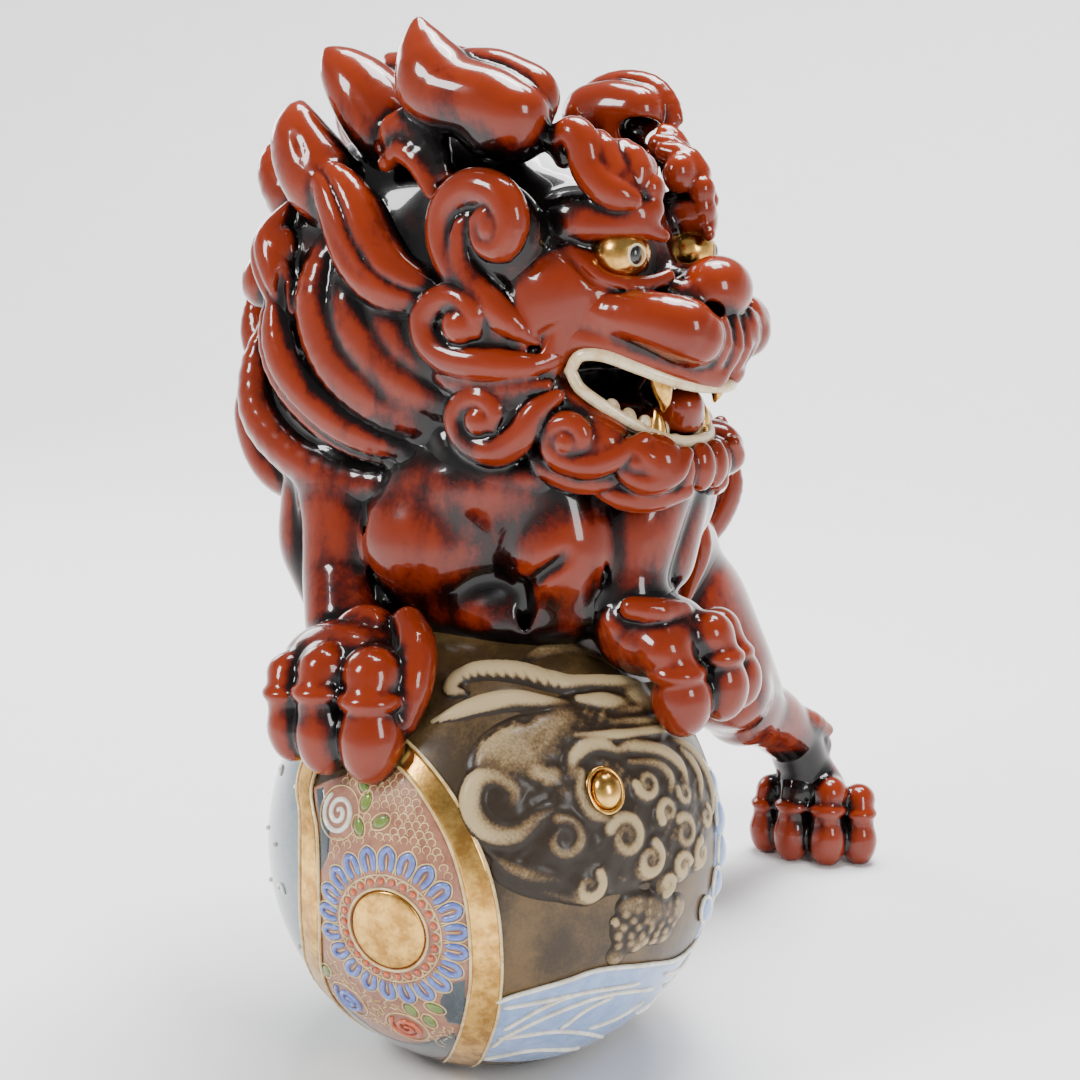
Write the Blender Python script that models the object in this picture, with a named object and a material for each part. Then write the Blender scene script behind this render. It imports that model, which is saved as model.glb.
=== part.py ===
"""Guardian lion (foo dog) statue: a ceramic lion leaning on a decorated ball, head turned to its left.

Every node is one of the moulded pieces that the maker lutes together with slip before firing. Lengths are
in millimetres until a mesh is finished. X and Y are measured from the vertical axis of the ball, Z from the
table: the chest faces -Y, the rump +Y, the lion's left side is +X, and the head looks along about +X.
"""

import math

import bmesh
import bpy
import numpy as np
from mathutils import Euler, Matrix, Vector

MM = 0.001
GAP = 0.4  # clearance left at each luted joint
WALL = 6.5  # thickness of the slip-cast shells
BALL_R = 71.5
BALL_Z = 66.5  # height of the ball's centre: its foot is ground flat
VENT_R = 8.0  # firing vent in the ball's foot
FOOT_THICK = 6.0
HEAD_AT = Vector((0.0, 18.6, 235.0))
HEAD_TURN = -11.0  # degrees about Z: the face looks a little towards the chest side
CENTRE = Vector((-7.2, 71.5, 0.0))  # middle of the statue's footprint, which becomes the row's origin

RED = ("vermilion_glaze", (0.42, 0.035, 0.012, 1), 0.0, 0.12)
GOLD = ("gilt", (0.72, 0.48, 0.16, 1), 1.0, 0.22)
IVORY = ("ivory_enamel", (0.80, 0.70, 0.50, 1), 0.0, 0.2)
BISCUIT = ("biscuit_relief", (0.30, 0.22, 0.13, 1), 0.0, 0.4)
BALL = ("ball_enamels", (0.20, 0.13, 0.07, 1), 0.0, 0.25)
BLUE = ("blue_enamel", (0.25, 0.36, 0.68, 1), 0.0, 0.2)

HEAD = Matrix.Translation(HEAD_AT) @ Matrix.Rotation(math.radians(HEAD_TURN), 4, "Z")
HERE = Matrix.Identity(4)

drawn = []  # (low corner, high corner, shapes, frame, fineness) of each finished piece, to cut the later ones


def egg(at, radii, turn=(0, 0, 0)):
    """An ellipsoid: centre, three half-axes (or one radius) and a turn in degrees."""
    radii = (radii,) * 3 if isinstance(radii, (int, float)) else radii
    return ("egg", Vector(at), Vector(radii), Euler([math.radians(a) for a in turn]))


def hull(*balls):
    """The convex hull of a few ellipsoids, each given as centre and radii."""
    return ("hull", [egg(at, radii) for at, radii in balls])


def horn(points, radii):
    """A round rope through the points, whose radius changes along it."""
    return ("horn", [Vector(p) for p in points], list(radii))


def curl(centre, size, thick, turns, start, tilt, taper=0.45, rise=0.0):
    """A spiral rope that winds inwards round the centre, in a plane set by the tilt in degrees."""
    plane = Euler([math.radians(a) for a in tilt]).to_matrix()
    steps = max(6, int(turns * 9))
    points, radii = [], []
    for i in range(steps + 1):
        t = i / steps
        a = math.radians(start) + 2 * math.pi * turns * t
        r = size * (1 - 0.86 * t)
        points.append(Vector(centre) + plane @ Vector((r * math.cos(a), r * math.sin(a), rise * t)))
        radii.append(thick * (1 - (1 - taper) * t))
    return horn(points, radii)


def flip(shape):
    """The same shape on the other side of its frame's XZ plane."""
    kind = shape[0]
    if kind == "egg":
        e = shape[3]
        return ("egg", Vector((shape[1].x, -shape[1].y, shape[1].z)), shape[2], Euler((-e.x, e.y, -e.z)))
    if kind == "hull":
        return ("hull", [flip(s) for s in shape[1]])
    return ("horn", [Vector((p.x, -p.y, p.z)) for p in shape[1]], shape[2])


def fill_egg(bm, shape, grow, fine):
    _, at, radii, turn = shape
    size = Matrix.Diagonal((*(radii + Vector((grow,) * 3)), 1))
    place = Matrix.Translation(at) @ turn.to_matrix().to_4x4() @ size
    bmesh.ops.create_uvsphere(bm, u_segments=fine[0], v_segments=fine[1], radius=1, matrix=place)


def fill_horn(bm, shape, grow):
    _, points, radii = shape
    ends = [points[0] + (points[0] - points[1]).normalized() * grow]
    ends.append(points[-1] + (points[-1] - points[-2]).normalized() * grow)
    curve = bpy.data.curves.new("rope", "CURVE")
    curve.dimensions, curve.bevel_depth, curve.bevel_resolution = "3D", 1.0, 1
    curve.use_fill_caps, curve.resolution_u = True, 1
    line = curve.splines.new("POLY")
    line.points.add(len(points) - 1)
    for spot, at, r in zip(line.points, [ends[0], *points[1:-1], ends[1]], radii):
        spot.co, spot.radius = (*at, 1), max(r + grow, 0.4)
    rope = bpy.data.objects.new("rope", curve)
    bpy.context.scene.collection.objects.link(rope)
    mesh = bpy.data.meshes.new_from_object(rope)
    bm.from_mesh(mesh)
    bpy.data.objects.remove(rope)
    bpy.data.meshes.remove(mesh)
    bmesh.ops.remove_doubles(bm, verts=bm.verts, dist=1e-4)


def shape_object(shape, grow, frame, fine=(10, 7)):
    """One closed mesh object of one shape, in millimetres, swollen by grow."""
    bm = bmesh.new()
    if shape[0] == "egg":
        fill_egg(bm, shape, grow, fine)
    elif shape[0] == "horn":
        fill_horn(bm, shape, grow)
    else:
        source = bmesh.new()
        for each in shape[1]:
            fill_egg(source, each, grow, (8, 5))
        for v in source.verts:
            bm.verts.new(v.co)
        source.free()
        bmesh.ops.convex_hull(bm, input=bm.verts)
        bmesh.ops.delete(bm, geom=[v for v in bm.verts if not v.link_faces], context="VERTS")
    bmesh.ops.transform(bm, matrix=frame, verts=bm.verts)
    bmesh.ops.recalc_face_normals(bm, faces=bm.faces)
    return linked("lump", bm)


def linked(name, bm):
    mesh = bpy.data.meshes.new(name)
    bm.to_mesh(mesh)
    bm.free()
    obj = bpy.data.objects.new(name, mesh)
    bpy.context.scene.collection.objects.link(obj)
    return obj


def combine(obj, others, operation):
    """Joins the others to obj, or takes them away from it, one exact Boolean each, and removes them."""
    for other in others:
        step = obj.modifiers.new("step", "BOOLEAN")
        step.operation, step.solver, step.object = operation, "EXACT", other
    bpy.context.view_layer.update()
    graph = bpy.context.evaluated_depsgraph_get()
    mesh = bpy.data.meshes.new_from_object(obj.evaluated_get(graph))
    obj.modifiers.clear()
    obj.data = mesh
    for other in others:
        bpy.data.objects.remove(other)


def keep_largest(obj):
    """Drops the crumbs that a cut leaves beside the piece."""
    bm = bmesh.new()
    bm.from_mesh(obj.data)
    bmesh.ops.remove_doubles(bm, verts=bm.verts, dist=0.02)
    bmesh.ops.triangulate(bm, faces=bm.faces)
    bmesh.ops.dissolve_degenerate(bm, edges=bm.edges, dist=0.02)
    bodies, seen = [], set()
    for start in bm.verts:
        if start in seen:
            continue
        body, queue = [], [start]
        seen.add(start)
        while queue:
            v = queue.pop()
            body.append(v)
            for e in v.link_edges:
                o = e.other_vert(v)
                if o not in seen:
                    seen.add(o)
                    queue.append(o)
        bodies.append(body)
    bodies.sort(key=len)
    bmesh.ops.delete(bm, geom=[v for body in bodies[:-1] for v in body], context="VERTS")
    bm.to_mesh(obj.data)
    bm.free()


def corners(obj):
    points = np.array([v.co for v in obj.data.vertices])
    return points.min(0), points.max(0)


def near(a, b, margin):
    return bool(np.all(a[0] - margin < b[1]) and np.all(b[0] - margin < a[1]))


def piece(name, glaze, shapes, frame=HERE, hollow=(), holes=(), fine=(10, 7)):
    """One named node: its shapes joined, its cavity and holes taken out, and room left for earlier pieces."""
    obj = shape_object(shapes[0], 0, frame, fine)
    combine(obj, [shape_object(s, 0, frame, fine) for s in shapes[1:]], "UNION")
    cuts = []
    for low, high, others, their_frame, their_fine in drawn:
        if not near(corners(obj), (low, high), GAP):
            continue
        for other in others:
            cutter = shape_object(other, GAP, their_frame, their_fine)
            if near(corners(obj), corners(cutter), GAP):
                cuts.append(cutter)
            else:
                bpy.data.objects.remove(cutter)
    low, high = corners(obj)
    drawn.append((low, high, shapes, frame, fine))
    cuts += [shape_object(s, 0, frame) for s in (*hollow, *holes)]
    combine(obj, cuts, "DIFFERENCE")
    keep_largest(obj)
    obj.data.transform(Matrix.Scale(MM, 4) @ Matrix.Translation(-CENTRE))
    obj.name = obj.data.name = name
    finish(obj, glaze)
    return obj


def finish(obj, glaze):
    slot, colour, metallic, roughness = glaze
    found = bpy.data.materials.get(slot)
    if not found:
        found = bpy.data.materials.new(slot)
        found.use_nodes = True
        shader = found.node_tree.nodes["Principled BSDF"]
        shader.inputs["Base Color"].default_value = colour
        shader.inputs["Metallic"].default_value = metallic
        shader.inputs["Roughness"].default_value = roughness
        found.diffuse_color = colour
    obj.data.materials.clear()
    obj.data.materials.append(found)
    for face in obj.data.polygons:
        face.material_index = 0


def pair(name, glaze, shapes, **more):
    """The same piece on the head's right side, which faces the chest side, and on its left."""
    piece(name + "_right", glaze, shapes, frame=HEAD, **more)
    piece(name + "_left", glaze, [flip(s) for s in shapes], frame=HEAD, **more)


def make_ball():
    """The ball: a hollow sphere with a flat foot ring and a firing vent."""
    def flat_sphere(radius, floor, segments):
        bm = bmesh.new()
        bmesh.ops.create_uvsphere(bm, u_segments=segments, v_segments=segments // 2 + 2, radius=radius)
        bmesh.ops.translate(bm, verts=bm.verts, vec=(0, 0, BALL_Z))
        cut = bmesh.ops.bisect_plane(bm, geom=bm.verts[:] + bm.edges[:] + bm.faces[:], plane_co=(0, 0, floor),
                                     plane_no=(0, 0, -1), clear_outer=True)
        rim = [g for g in cut["geom_cut"] if isinstance(g, bmesh.types.BMEdge)]
        bmesh.ops.contextual_create(bm, geom=rim)
        bmesh.ops.recalc_face_normals(bm, faces=bm.faces)
        return linked("ball", bm)

    obj = flat_sphere(BALL_R, 0.0, 28)
    low, high = corners(obj)
    drawn.append((low, high, [egg((0, 0, BALL_Z), BALL_R)], HERE, (28, 16)))
    bm = bmesh.new()
    bmesh.ops.create_cone(bm, cap_ends=True, segments=20, radius1=VENT_R, radius2=VENT_R, depth=30)
    combine(obj, [flat_sphere(BALL_R - WALL, FOOT_THICK, 16), linked("vent", bm)], "DIFFERENCE")
    obj.data.transform(Matrix.Scale(MM, 4) @ Matrix.Translation(-CENTRE))
    obj.name = obj.data.name = "ball"
    finish(obj, BALL)


def on_ball(azimuth, height, out=0.0):
    """A point on the ball, by azimuth and latitude in degrees, pushed out of it by some millimetres."""
    a, h = math.radians(azimuth), math.radians(height)
    direction = Vector((math.cos(h) * math.cos(a), math.cos(h) * math.sin(a), math.sin(h)))
    return Vector((0, 0, BALL_Z)) + direction * (BALL_R + out)


def on_ball_path(spots, thick, out=0.6):
    return horn([on_ball(a, h, out) for a, h in spots], thick)


def paw(at, toes, size):
    """A paw: a palm and, in front of it, toes of a knuckle and a pad each."""
    shapes = [egg(at, size)]
    for knuckle, pad, r in toes:
        shapes.append(hull((knuckle, r), (pad, r * 0.85)))
    return shapes


def build():
    for obj in list(bpy.data.objects):
        bpy.data.objects.remove(obj)
    make_ball()
    piece("ball_dragon_eye", GOLD, [egg(on_ball(-40, 28.8, 2.5), 5.2)], fine=(12, 8))
    piece("ball_dragon_horn", BISCUIT, [on_ball_path(
        [(-68, 43), (-62, 50), (-50, 54), (-38, 52), (-28, 47), (-22, 41)], (2.5, 4.5, 5.0, 5.0, 4.5, 3.0))])
    piece("ball_dragon_face", BISCUIT, [
        egg(on_ball(-52, 28, -2), (11, 10, 13)), egg(on_ball(-30, 27, -2), (10, 11, 11)),
        egg(on_ball(-42, 14, -2), (13, 12, 9)), egg(on_ball(-22, 14, -2), (8, 11, 9))])
    piece("ball_wave_crest", BLUE, [on_ball_path(
        [(-14, -14), (-11, -8), (-10, -2), (-13, 4)], (3.0, 4.0, 3.6, 1.6))])
    piece("ball_cloud", BISCUIT, [egg(on_ball(-36, -5, -1.0), (8, 8, 6)), egg(on_ball(-27, -3, -1.0), (6, 7, 6))])

    spine = (((2, 16, 174), (46, 40, 44)), ((-2, 60, 168), (40, 40, 42)),
             ((0, 104, 148), (36, 38, 38)), ((2, 146, 124), (41, 36, 39)))
    barrel = [hull(front, rear) for front, rear in zip(spine, spine[1:])]
    breast = [egg((-19, -10, 163), (24, 21, 24)), egg((23, -7, 163), (22, 20, 24)),
              egg((48, 30, 178), (16, 20, 22)), egg((-50, 22, 180), (16, 20, 22))]
    cavity = [(at, [r - WALL for r in radii]) for at, radii in spine]
    inside = [hull(front, rear) for front, rear in zip(cavity, cavity[1:])]
    neck = hull(((-6, 24, 190), (20, 18, 6)), ((-6, 24, 232), (20, 18, 6)))
    piece("torso", RED, barrel + breast, hollow=inside, holes=[neck], fine=(14, 9))

    skull = [egg((2, 0, 7), (42, 40, 44)), egg((27, 0, 6), (32, 33, 35)),
             egg((31, -20, 3), (19, 14, 17)), egg((31, 20, 3), (19, 14, 17))]
    mouth = hull(((36, 0, -18), (4, 31, 3)), ((62, 0, -30), (16, 24, 10)))
    piece("head", RED, skull, frame=HEAD, hollow=[egg((2, 0, 7), (35, 33, 37))], holes=[mouth], fine=(14, 9))
    muzzle = [egg((52, 0, 0), (22, 22, 15)), egg((71, -8, -6), (9, 10, 9)), egg((71, 8, -6), (9, 10, 9)),
              horn([(36, -27, -9), (46, -28, -8), (57, -25, -9), (67, -17, -10), (72, -9, -14)],
                   (5, 7, 7.5, 7, 5)),
              horn([(36, 27, -9), (46, 28, -8), (57, 25, -9), (67, 17, -10), (72, 9, -14)],
                   (5, 7, 7.5, 7, 5))]
    piece("muzzle", RED, muzzle, frame=HEAD, holes=[mouth])
    piece("nose", RED, [egg((68, 0, 7), (11, 12, 9)), egg((68, -9, 3), (8, 7, 6)), egg((68, 9, 3), (8, 7, 6))],
          frame=HEAD)
    jaw = [hull(((24, 0, -34), (14, 27, 16)), ((52, 0, -44), (13, 17, 9))), egg((56, 0, -45), (11, 14, 8))]
    throat = hull(((36, 0, -19), (4, 27, 3)), ((60, 0, -30), (14, 13, 10)))
    piece("lower_jaw", RED, jaw, frame=HEAD, holes=[throat, mouth])
    piece("tongue", RED, [hull(((38, 0, -28), (5, 12, 4)), ((57, 0, -35), (7, 9, 5)))], frame=HEAD)
    piece("lower_gum", IVORY, [horn(
        [(42, -24, -23), (52, -20, -31), (60, -14, -37), (65, -5, -39), (65, 5, -39), (60, 14, -37),
         (52, 20, -31), (42, 24, -23)], (1.6, 2.2, 2.6, 2.6, 2.6, 2.6, 2.2, 1.6))], frame=HEAD)
    pair("upper_fang", GOLD, [horn([(61, -14, -16), (62, -14, -22), (62.5, -13.5, -28)], (3.6, 3, 0.8))])
    pair("lower_fang", GOLD, [horn([(60, -12, -40), (60, -12.5, -35), (59, -13, -29)], (3.2, 2.6, 0.8))])
    pair("eye", GOLD, [egg((49, -20.5, 15.5), (7.5, 7.5, 6.5))])

    piece("mane", RED, [egg((-38, 24, 232), (54, 50, 56)), egg((-18, 26, 252), (50, 46, 46)),
                        egg((-54, 14, 200), (36, 36, 36)), egg((-30, 44, 205), (48, 44, 40)),
                        egg((-14, -4, 208), (34, 22, 26))],
          hollow=[egg((-38, 24, 232), (47, 43, 49)), egg((-30, 44, 205), (41, 37, 33))], fine=(14, 9))
    pair("ear", RED, [horn([(20, -30, 46), (13, -33, 56), (3, -34, 61), (-6, -34, 68), (-11, -33, 77),
                            (-12, -33, 82)], (9, 15, 15, 11, 5, 1.2))])
    pair("brow", RED, [horn([(30, -31, 50), (38, -31, 48), (46, -29, 41), (51, -24, 33), (56, -18, 25)],
                            (5, 8, 9, 7.5, 4.5))])
    pair("temple_curl", RED, [curl((17, -40, 25), 12, 5.5, 1.15, -70, (82, 0, 10), rise=5),
                              horn([(22, -40, 14), (15, -42, 8), (4, -43, 8), (0, -42, 18), (4, -41, 30)],
                                   (4, 6, 6.5, 6, 3))])
    pair("cheek_curl", RED, [curl((7, -43, -4), 12, 5.5, 1.15, 20, (82, 0, 10), rise=5),
                             egg((7, -39, -4), (12, 8, 12))])
    for name, at, r, spin in (("rear", (11, -38, -32), 11, 60), ("middle", (36, -32, -38), 11, 100),
                              ("front", (54, -20, -50), 10, 130)):
        pair("beard_curl_" + name, RED, [curl(at, r, 4.6, 1.1, spin, (78, 0, 16), rise=4),
                                         egg(Vector(at) + Vector((0, 5, 0)), (r + 1, 8, r + 1))])
    piece("chin_curl", RED, [egg((62, 0, -54), (9, 10, 9)), egg((56, 0, -58), (9, 12, 8))], frame=HEAD)

    flame = (9, 12, 10, 6, 1.5)
    for name, points, radii in (
            ("crown", [(-16, 30, 292), (-22, 32, 304), (-32, 32, 312), (-42, 31, 318)], (14, 15, 10, 2)),
            ("top_rear", [(-40, 14, 278), (-50, 14, 290), (-60, 14, 301), (-69, 14, 309)], (14, 14, 9, 2)),
            ("top_side", [(-48, -4, 262), (-60, -6, 272), (-72, -6, 286), (-80, -4, 297)], (13, 13, 9, 2)),
            ("side_high", [(-8, -34, 232), (-26, -36, 240), (-46, -32, 256), (-60, -26, 270), (-72, -22, 276)],
             (6, 11, 13, 11, 3)),
            ("side_middle", [(-22, -34, 200), (-40, -40, 214), (-62, -36, 232), (-80, -22, 248), (-92, -8, 262)],
             flame),
            ("side_low", [(-30, -32, 184), (-52, -36, 192), (-76, -30, 206), (-92, -16, 224), (-100, 0, 240)],
             flame),
            ("bib", [(-14, -30, 190), (-34, -36, 182), (-58, -34, 180), (-82, -22, 186), (-98, -2, 200)],
             (7, 12, 15, 14, 6)),
            ("rear_high", [(-50, 60, 280), (-66, 64, 284), (-80, 66, 292), (-90, 66, 302)], (14, 14, 9, 2)),
            ("rear_middle", [(-64, 66, 244), (-80, 70, 250), (-92, 70, 258), (-100, 68, 270)], (14, 13, 8, 2)),
            ("rear_low", [(-58, 74, 206), (-74, 76, 208), (-88, 74, 216), (-98, 70, 228)], (15, 14, 9, 2)),
            ("back", [(-20, 70, 250), (-30, 82, 240), (-36, 88, 224), (-36, 92, 208)], (13, 15, 11, 3)),
            ("back_low", [(8, 62, 232), (10, 76, 222), (8, 84, 208), (4, 88, 194)], (13, 14, 10, 3))):
        piece("mane_lock_" + name, RED, [horn(points, radii)])
    piece("mane_curl_side", RED, [curl((-88, 0, 250), 12, 5, 1.1, 200, (80, 0, -40), rise=4),
                                  egg((-84, 4, 248), (12, 10, 12))])

    piece("foreleg_right", RED, [hull(((-60, 12, 184), 21), ((-55, 0, 160), 18)),
                                 hull(((-55, 0, 160), 18), ((-38, -26, 136), 15)),
                                 egg((-69, 4, 164), (11, 14, 18))])
    piece("foreleg_left", RED, [hull(((44, 20, 176), 19), ((46, 10, 158), 16)),
                                hull(((46, 10, 158), 16), ((50, 0, 142), 14))])
    piece("forepaw_right", RED, paw((-28, -44, 128), [
        ((-45, -50, 124), (-47, -57, 112), 10), ((-34, -58, 121), (-36, -67, 107), 10.5),
        ((-20, -62, 120), (-20, -71, 105), 10.5), ((-8, -58, 122), (-5, -66, 109), 10)], (23, 21, 17)))
    piece("forepaw_left", RED, paw((55, -2, 131), [
        ((57, -19, 128), (61, -21, 117), 8.5), ((66, -9, 128), (72, -9, 115), 9),
        ((69, 4, 127), (75, 5, 113), 9), ((66, 16, 127), (72, 18, 115), 8.5)], (19, 20, 15)))
    for name, side in (("left", 1), ("right", -1)):
        def put(x, y, z):
            return (side * x, y, z)
        piece("hind_leg_" + name, RED, [
            egg(put(34, 146, 116), (30, 36, 36)), hull((put(40, 140, 96), 22), (put(47, 160, 70), 18)),
            hull((put(47, 162, 70), 17), (put(58, 196, 58), 12)), hull((put(58, 198, 58), 12), (put(60, 204, 34), 12))])
        piece("hind_paw_" + name, RED, paw(put(60, 202, 19), [
            (put(44, 188, 24), put(42, 183, 10), 10), (put(55, 183, 26), put(53, 178, 10), 10.5),
            (put(67, 183, 26), put(68, 178, 10), 10.5), (put(78, 189, 24), put(80, 184, 10), 10)], (23, 21, 20.5)))
    piece("tail", RED, [horn([(0, 178, 120), (0, 192, 132), (0, 197, 150), (-2, 192, 168), (0, 182, 182)],
                             (9, 12, 14, 10, 2)),
                        horn([(0, 186, 128), (-12, 192, 140), (-18, 190, 154)], (8, 8, 2)),
                        horn([(0, 186, 128), (12, 192, 140), (18, 190, 154)], (8, 8, 2))])


def rest_on_table():
    """Grinds the paws level with the ball's foot, and closes each cut."""
    for obj in bpy.data.objects:
        if obj.type != "MESH" or min(v.co.z for v in obj.data.vertices) >= 0:
            continue
        bm = bmesh.new()
        bm.from_mesh(obj.data)
        cut = bmesh.ops.bisect_plane(bm, geom=bm.verts[:] + bm.edges[:] + bm.faces[:], plane_co=(0, 0, 0),
                                     plane_no=(0, 0, -1), clear_outer=True)
        bmesh.ops.holes_fill(bm, edges=[g for g in cut["geom_cut"] if isinstance(g, bmesh.types.BMEdge)])
        bmesh.ops.triangulate(bm, faces=bm.faces)
        bmesh.ops.recalc_face_normals(bm, faces=bm.faces)
        bm.to_mesh(obj.data)
        bm.free()


build()
rest_on_table()
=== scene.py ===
"""Guardian lion (foo dog) on a decorated ball, in glazed ceramic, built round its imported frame.

The lion is modelled as clay: strokes (ovals, ropes, flattened locks, curls, grooves) are laid into a block of
signed distances and run together as wet clay does. The block is then parted into the moulded pieces, and each
is skinned as a closed mesh. The ball and its raised enamels are surfaces laid out by azimuth and latitude.
Lengths are in millimetres from the ball's vertical axis until a mesh is written.
"""

import math

import bpy
import numpy as np
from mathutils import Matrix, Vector


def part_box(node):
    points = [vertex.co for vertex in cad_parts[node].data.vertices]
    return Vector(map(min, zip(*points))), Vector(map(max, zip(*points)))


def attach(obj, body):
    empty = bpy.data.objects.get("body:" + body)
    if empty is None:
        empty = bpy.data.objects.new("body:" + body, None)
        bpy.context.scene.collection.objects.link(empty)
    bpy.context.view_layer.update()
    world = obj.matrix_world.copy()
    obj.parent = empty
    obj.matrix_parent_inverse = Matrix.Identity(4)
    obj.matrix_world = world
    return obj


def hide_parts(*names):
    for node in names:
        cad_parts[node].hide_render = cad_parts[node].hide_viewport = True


bl_info = {
    "name": "Guardian lion on a ball",
    "version": (1, 0, 0),
    "blender": (4, 5, 0),
    "location": "View3D > Sidebar > Guardian lion",
    "description": "Builds a glazed ceramic guardian lion leaning on an enamelled ball",
    "category": "Object",
}

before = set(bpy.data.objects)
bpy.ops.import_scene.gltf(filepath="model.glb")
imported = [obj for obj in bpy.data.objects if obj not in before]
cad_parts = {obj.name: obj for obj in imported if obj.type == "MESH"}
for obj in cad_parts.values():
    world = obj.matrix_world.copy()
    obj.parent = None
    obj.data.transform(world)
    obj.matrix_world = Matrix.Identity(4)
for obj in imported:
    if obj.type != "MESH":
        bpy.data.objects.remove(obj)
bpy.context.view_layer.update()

MM = 0.001
BALL_LOW, BALL_HIGH = (np.array(corner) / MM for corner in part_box("ball"))
BALL_RADIUS = float(BALL_HIGH[0] - BALL_LOW[0]) / 2
BALL_CENTRE = np.array([0.0, 0.0, float(BALL_HIGH[2]) - BALL_RADIUS])
AXIS = np.array([(BALL_LOW[0] + BALL_HIGH[0]) / 2, (BALL_LOW[1] + BALL_HIGH[1]) / 2, 0.0])
HEAD_AT = np.array([0.0, 18.6, 235.0])
HEAD_TURN = -11.0  # degrees about the vertical
FAR = 40.0  # distance that stands for open air
OVERLAP = 1.6  # how far one piece runs on under its neighbour
SINK = 0.3  # how fast it sinks there
OVAL_JOIN = 1.0  # how widely the ovals of one loft run together
ROPE_JOIN = 0.8  # and the short lengths of a flat rope
THINNEST = 0.3  # least radius of a rope
LEAST_BODY = 60  # a loose crumb of clay with fewer vertices is dropped
NEAR_AIR, WIDE_AIR = 1.8, 5.5  # how far round a point the air is counted, for fine and for broad hollows
WALL = 6.5  # thickness of the ball's wall
FOOT_THICK = 6.0  # and of its foot
VENT_RADIUS = 8.0  # firing vent in the foot
TINY = 1e-9  # keeps a division from failing at nothing


def turn_matrix(degrees):
    """The turn about X, then Y, then Z, by these degrees."""
    a, b, c = (math.radians(d) for d in degrees)
    rx = np.array([[1, 0, 0], [0, math.cos(a), -math.sin(a)], [0, math.sin(a), math.cos(a)]])
    ry = np.array([[math.cos(b), 0, math.sin(b)], [0, 1, 0], [-math.sin(b), 0, math.cos(b)]])
    rz = np.array([[math.cos(c), -math.sin(c), 0], [math.sin(c), math.cos(c), 0], [0, 0, 1]])
    return rz @ ry @ rx


class Place:
    """Where strokes are drawn: an origin, a turn, and the signs that mirror a shape to its other side."""

    def __init__(self, origin=(0, 0, 0), turn=None, mirror=(1, 1, 1)):
        self.origin = np.array(origin, float)
        self.turn = np.eye(3) if turn is None else turn
        self.mirror = np.array(mirror, float)

    def point(self, p):
        """Points of this place as points of the body."""
        return (np.atleast_2d(np.array(p, float)) * self.mirror) @ self.turn.T + self.origin

    def axes(self, turn):
        """The three axes, as columns, of a shape turned by these degrees here."""
        local = turn_matrix(turn) * self.mirror[:, None]
        return self.turn @ local


BODY = Place()
HEAD = Place(HEAD_AT, turn_matrix((0, 0, HEAD_TURN)))
SIDES = ((HEAD, "right"), (Place(HEAD_AT, HEAD.turn, (1, -1, 1)), "left"))


def spline(points, count):
    """A Catmull-Rom curve through the rows of an array, at count steps of equal chord."""
    p = np.array(points, float)
    if len(p) < 3:
        t = np.linspace(0, 1, count)[:, None]
        return p[:1] * (1 - t) + p[-1:] * t
    ends = np.vstack([2 * p[0] - p[1], p, 2 * p[-1] - p[-2]])
    chord = np.concatenate([[0], np.cumsum(np.linalg.norm(np.diff(p[:, :3], axis=0), axis=1))])
    at = np.linspace(0, chord[-1], count)
    k = np.clip(np.searchsorted(chord, at, side="right") - 1, 0, len(p) - 2)
    t = ((at - chord[k]) / (chord[k + 1] - chord[k]))[:, None]
    a, b, c, d = ends[k], ends[k + 1], ends[k + 2], ends[k + 3]
    return 0.5 * (2 * b + (c - a) * t + (2 * a - 5 * b + 4 * c - d) * t**2 + (3 * b - a - 3 * c + d) * t**3)


def facing(out):
    """The unit vector along out, and two across it: one level and one upwards."""
    out = np.array(out, float) / np.linalg.norm(out)
    level = np.cross((0, 0, 1) if abs(out[2]) < 0.9 else (0, 1, 0), out)
    level = level / np.linalg.norm(level)
    return out, level, np.cross(out, level)


def round_angles(count):
    """Even angles once round, in radians."""
    return np.linspace(0, 2 * math.pi, count, endpoint=False)


def outward(points, faces, inside):
    """The faces, all turned over if the first one looks towards the point inside."""
    a, b, c = points[faces[0, [0, 1, -1]]]
    return faces[:, ::-1] if np.cross(b - a, c - a) @ (a - inside) < 0 else faces


def along_way(x, y, z, way):
    """How far points lie along a direction, from their coordinates axis by axis."""
    a, b, c = way.astype(np.float32)
    return x * a + y * b + z * c


def blended(a, b, reach):
    """The smaller of two distances, with the valley between them filled over reach."""
    h = np.maximum(reach - np.abs(a - b), 0) / reach
    return np.minimum(a, b) - h * h * (reach * 0.25)


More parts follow.
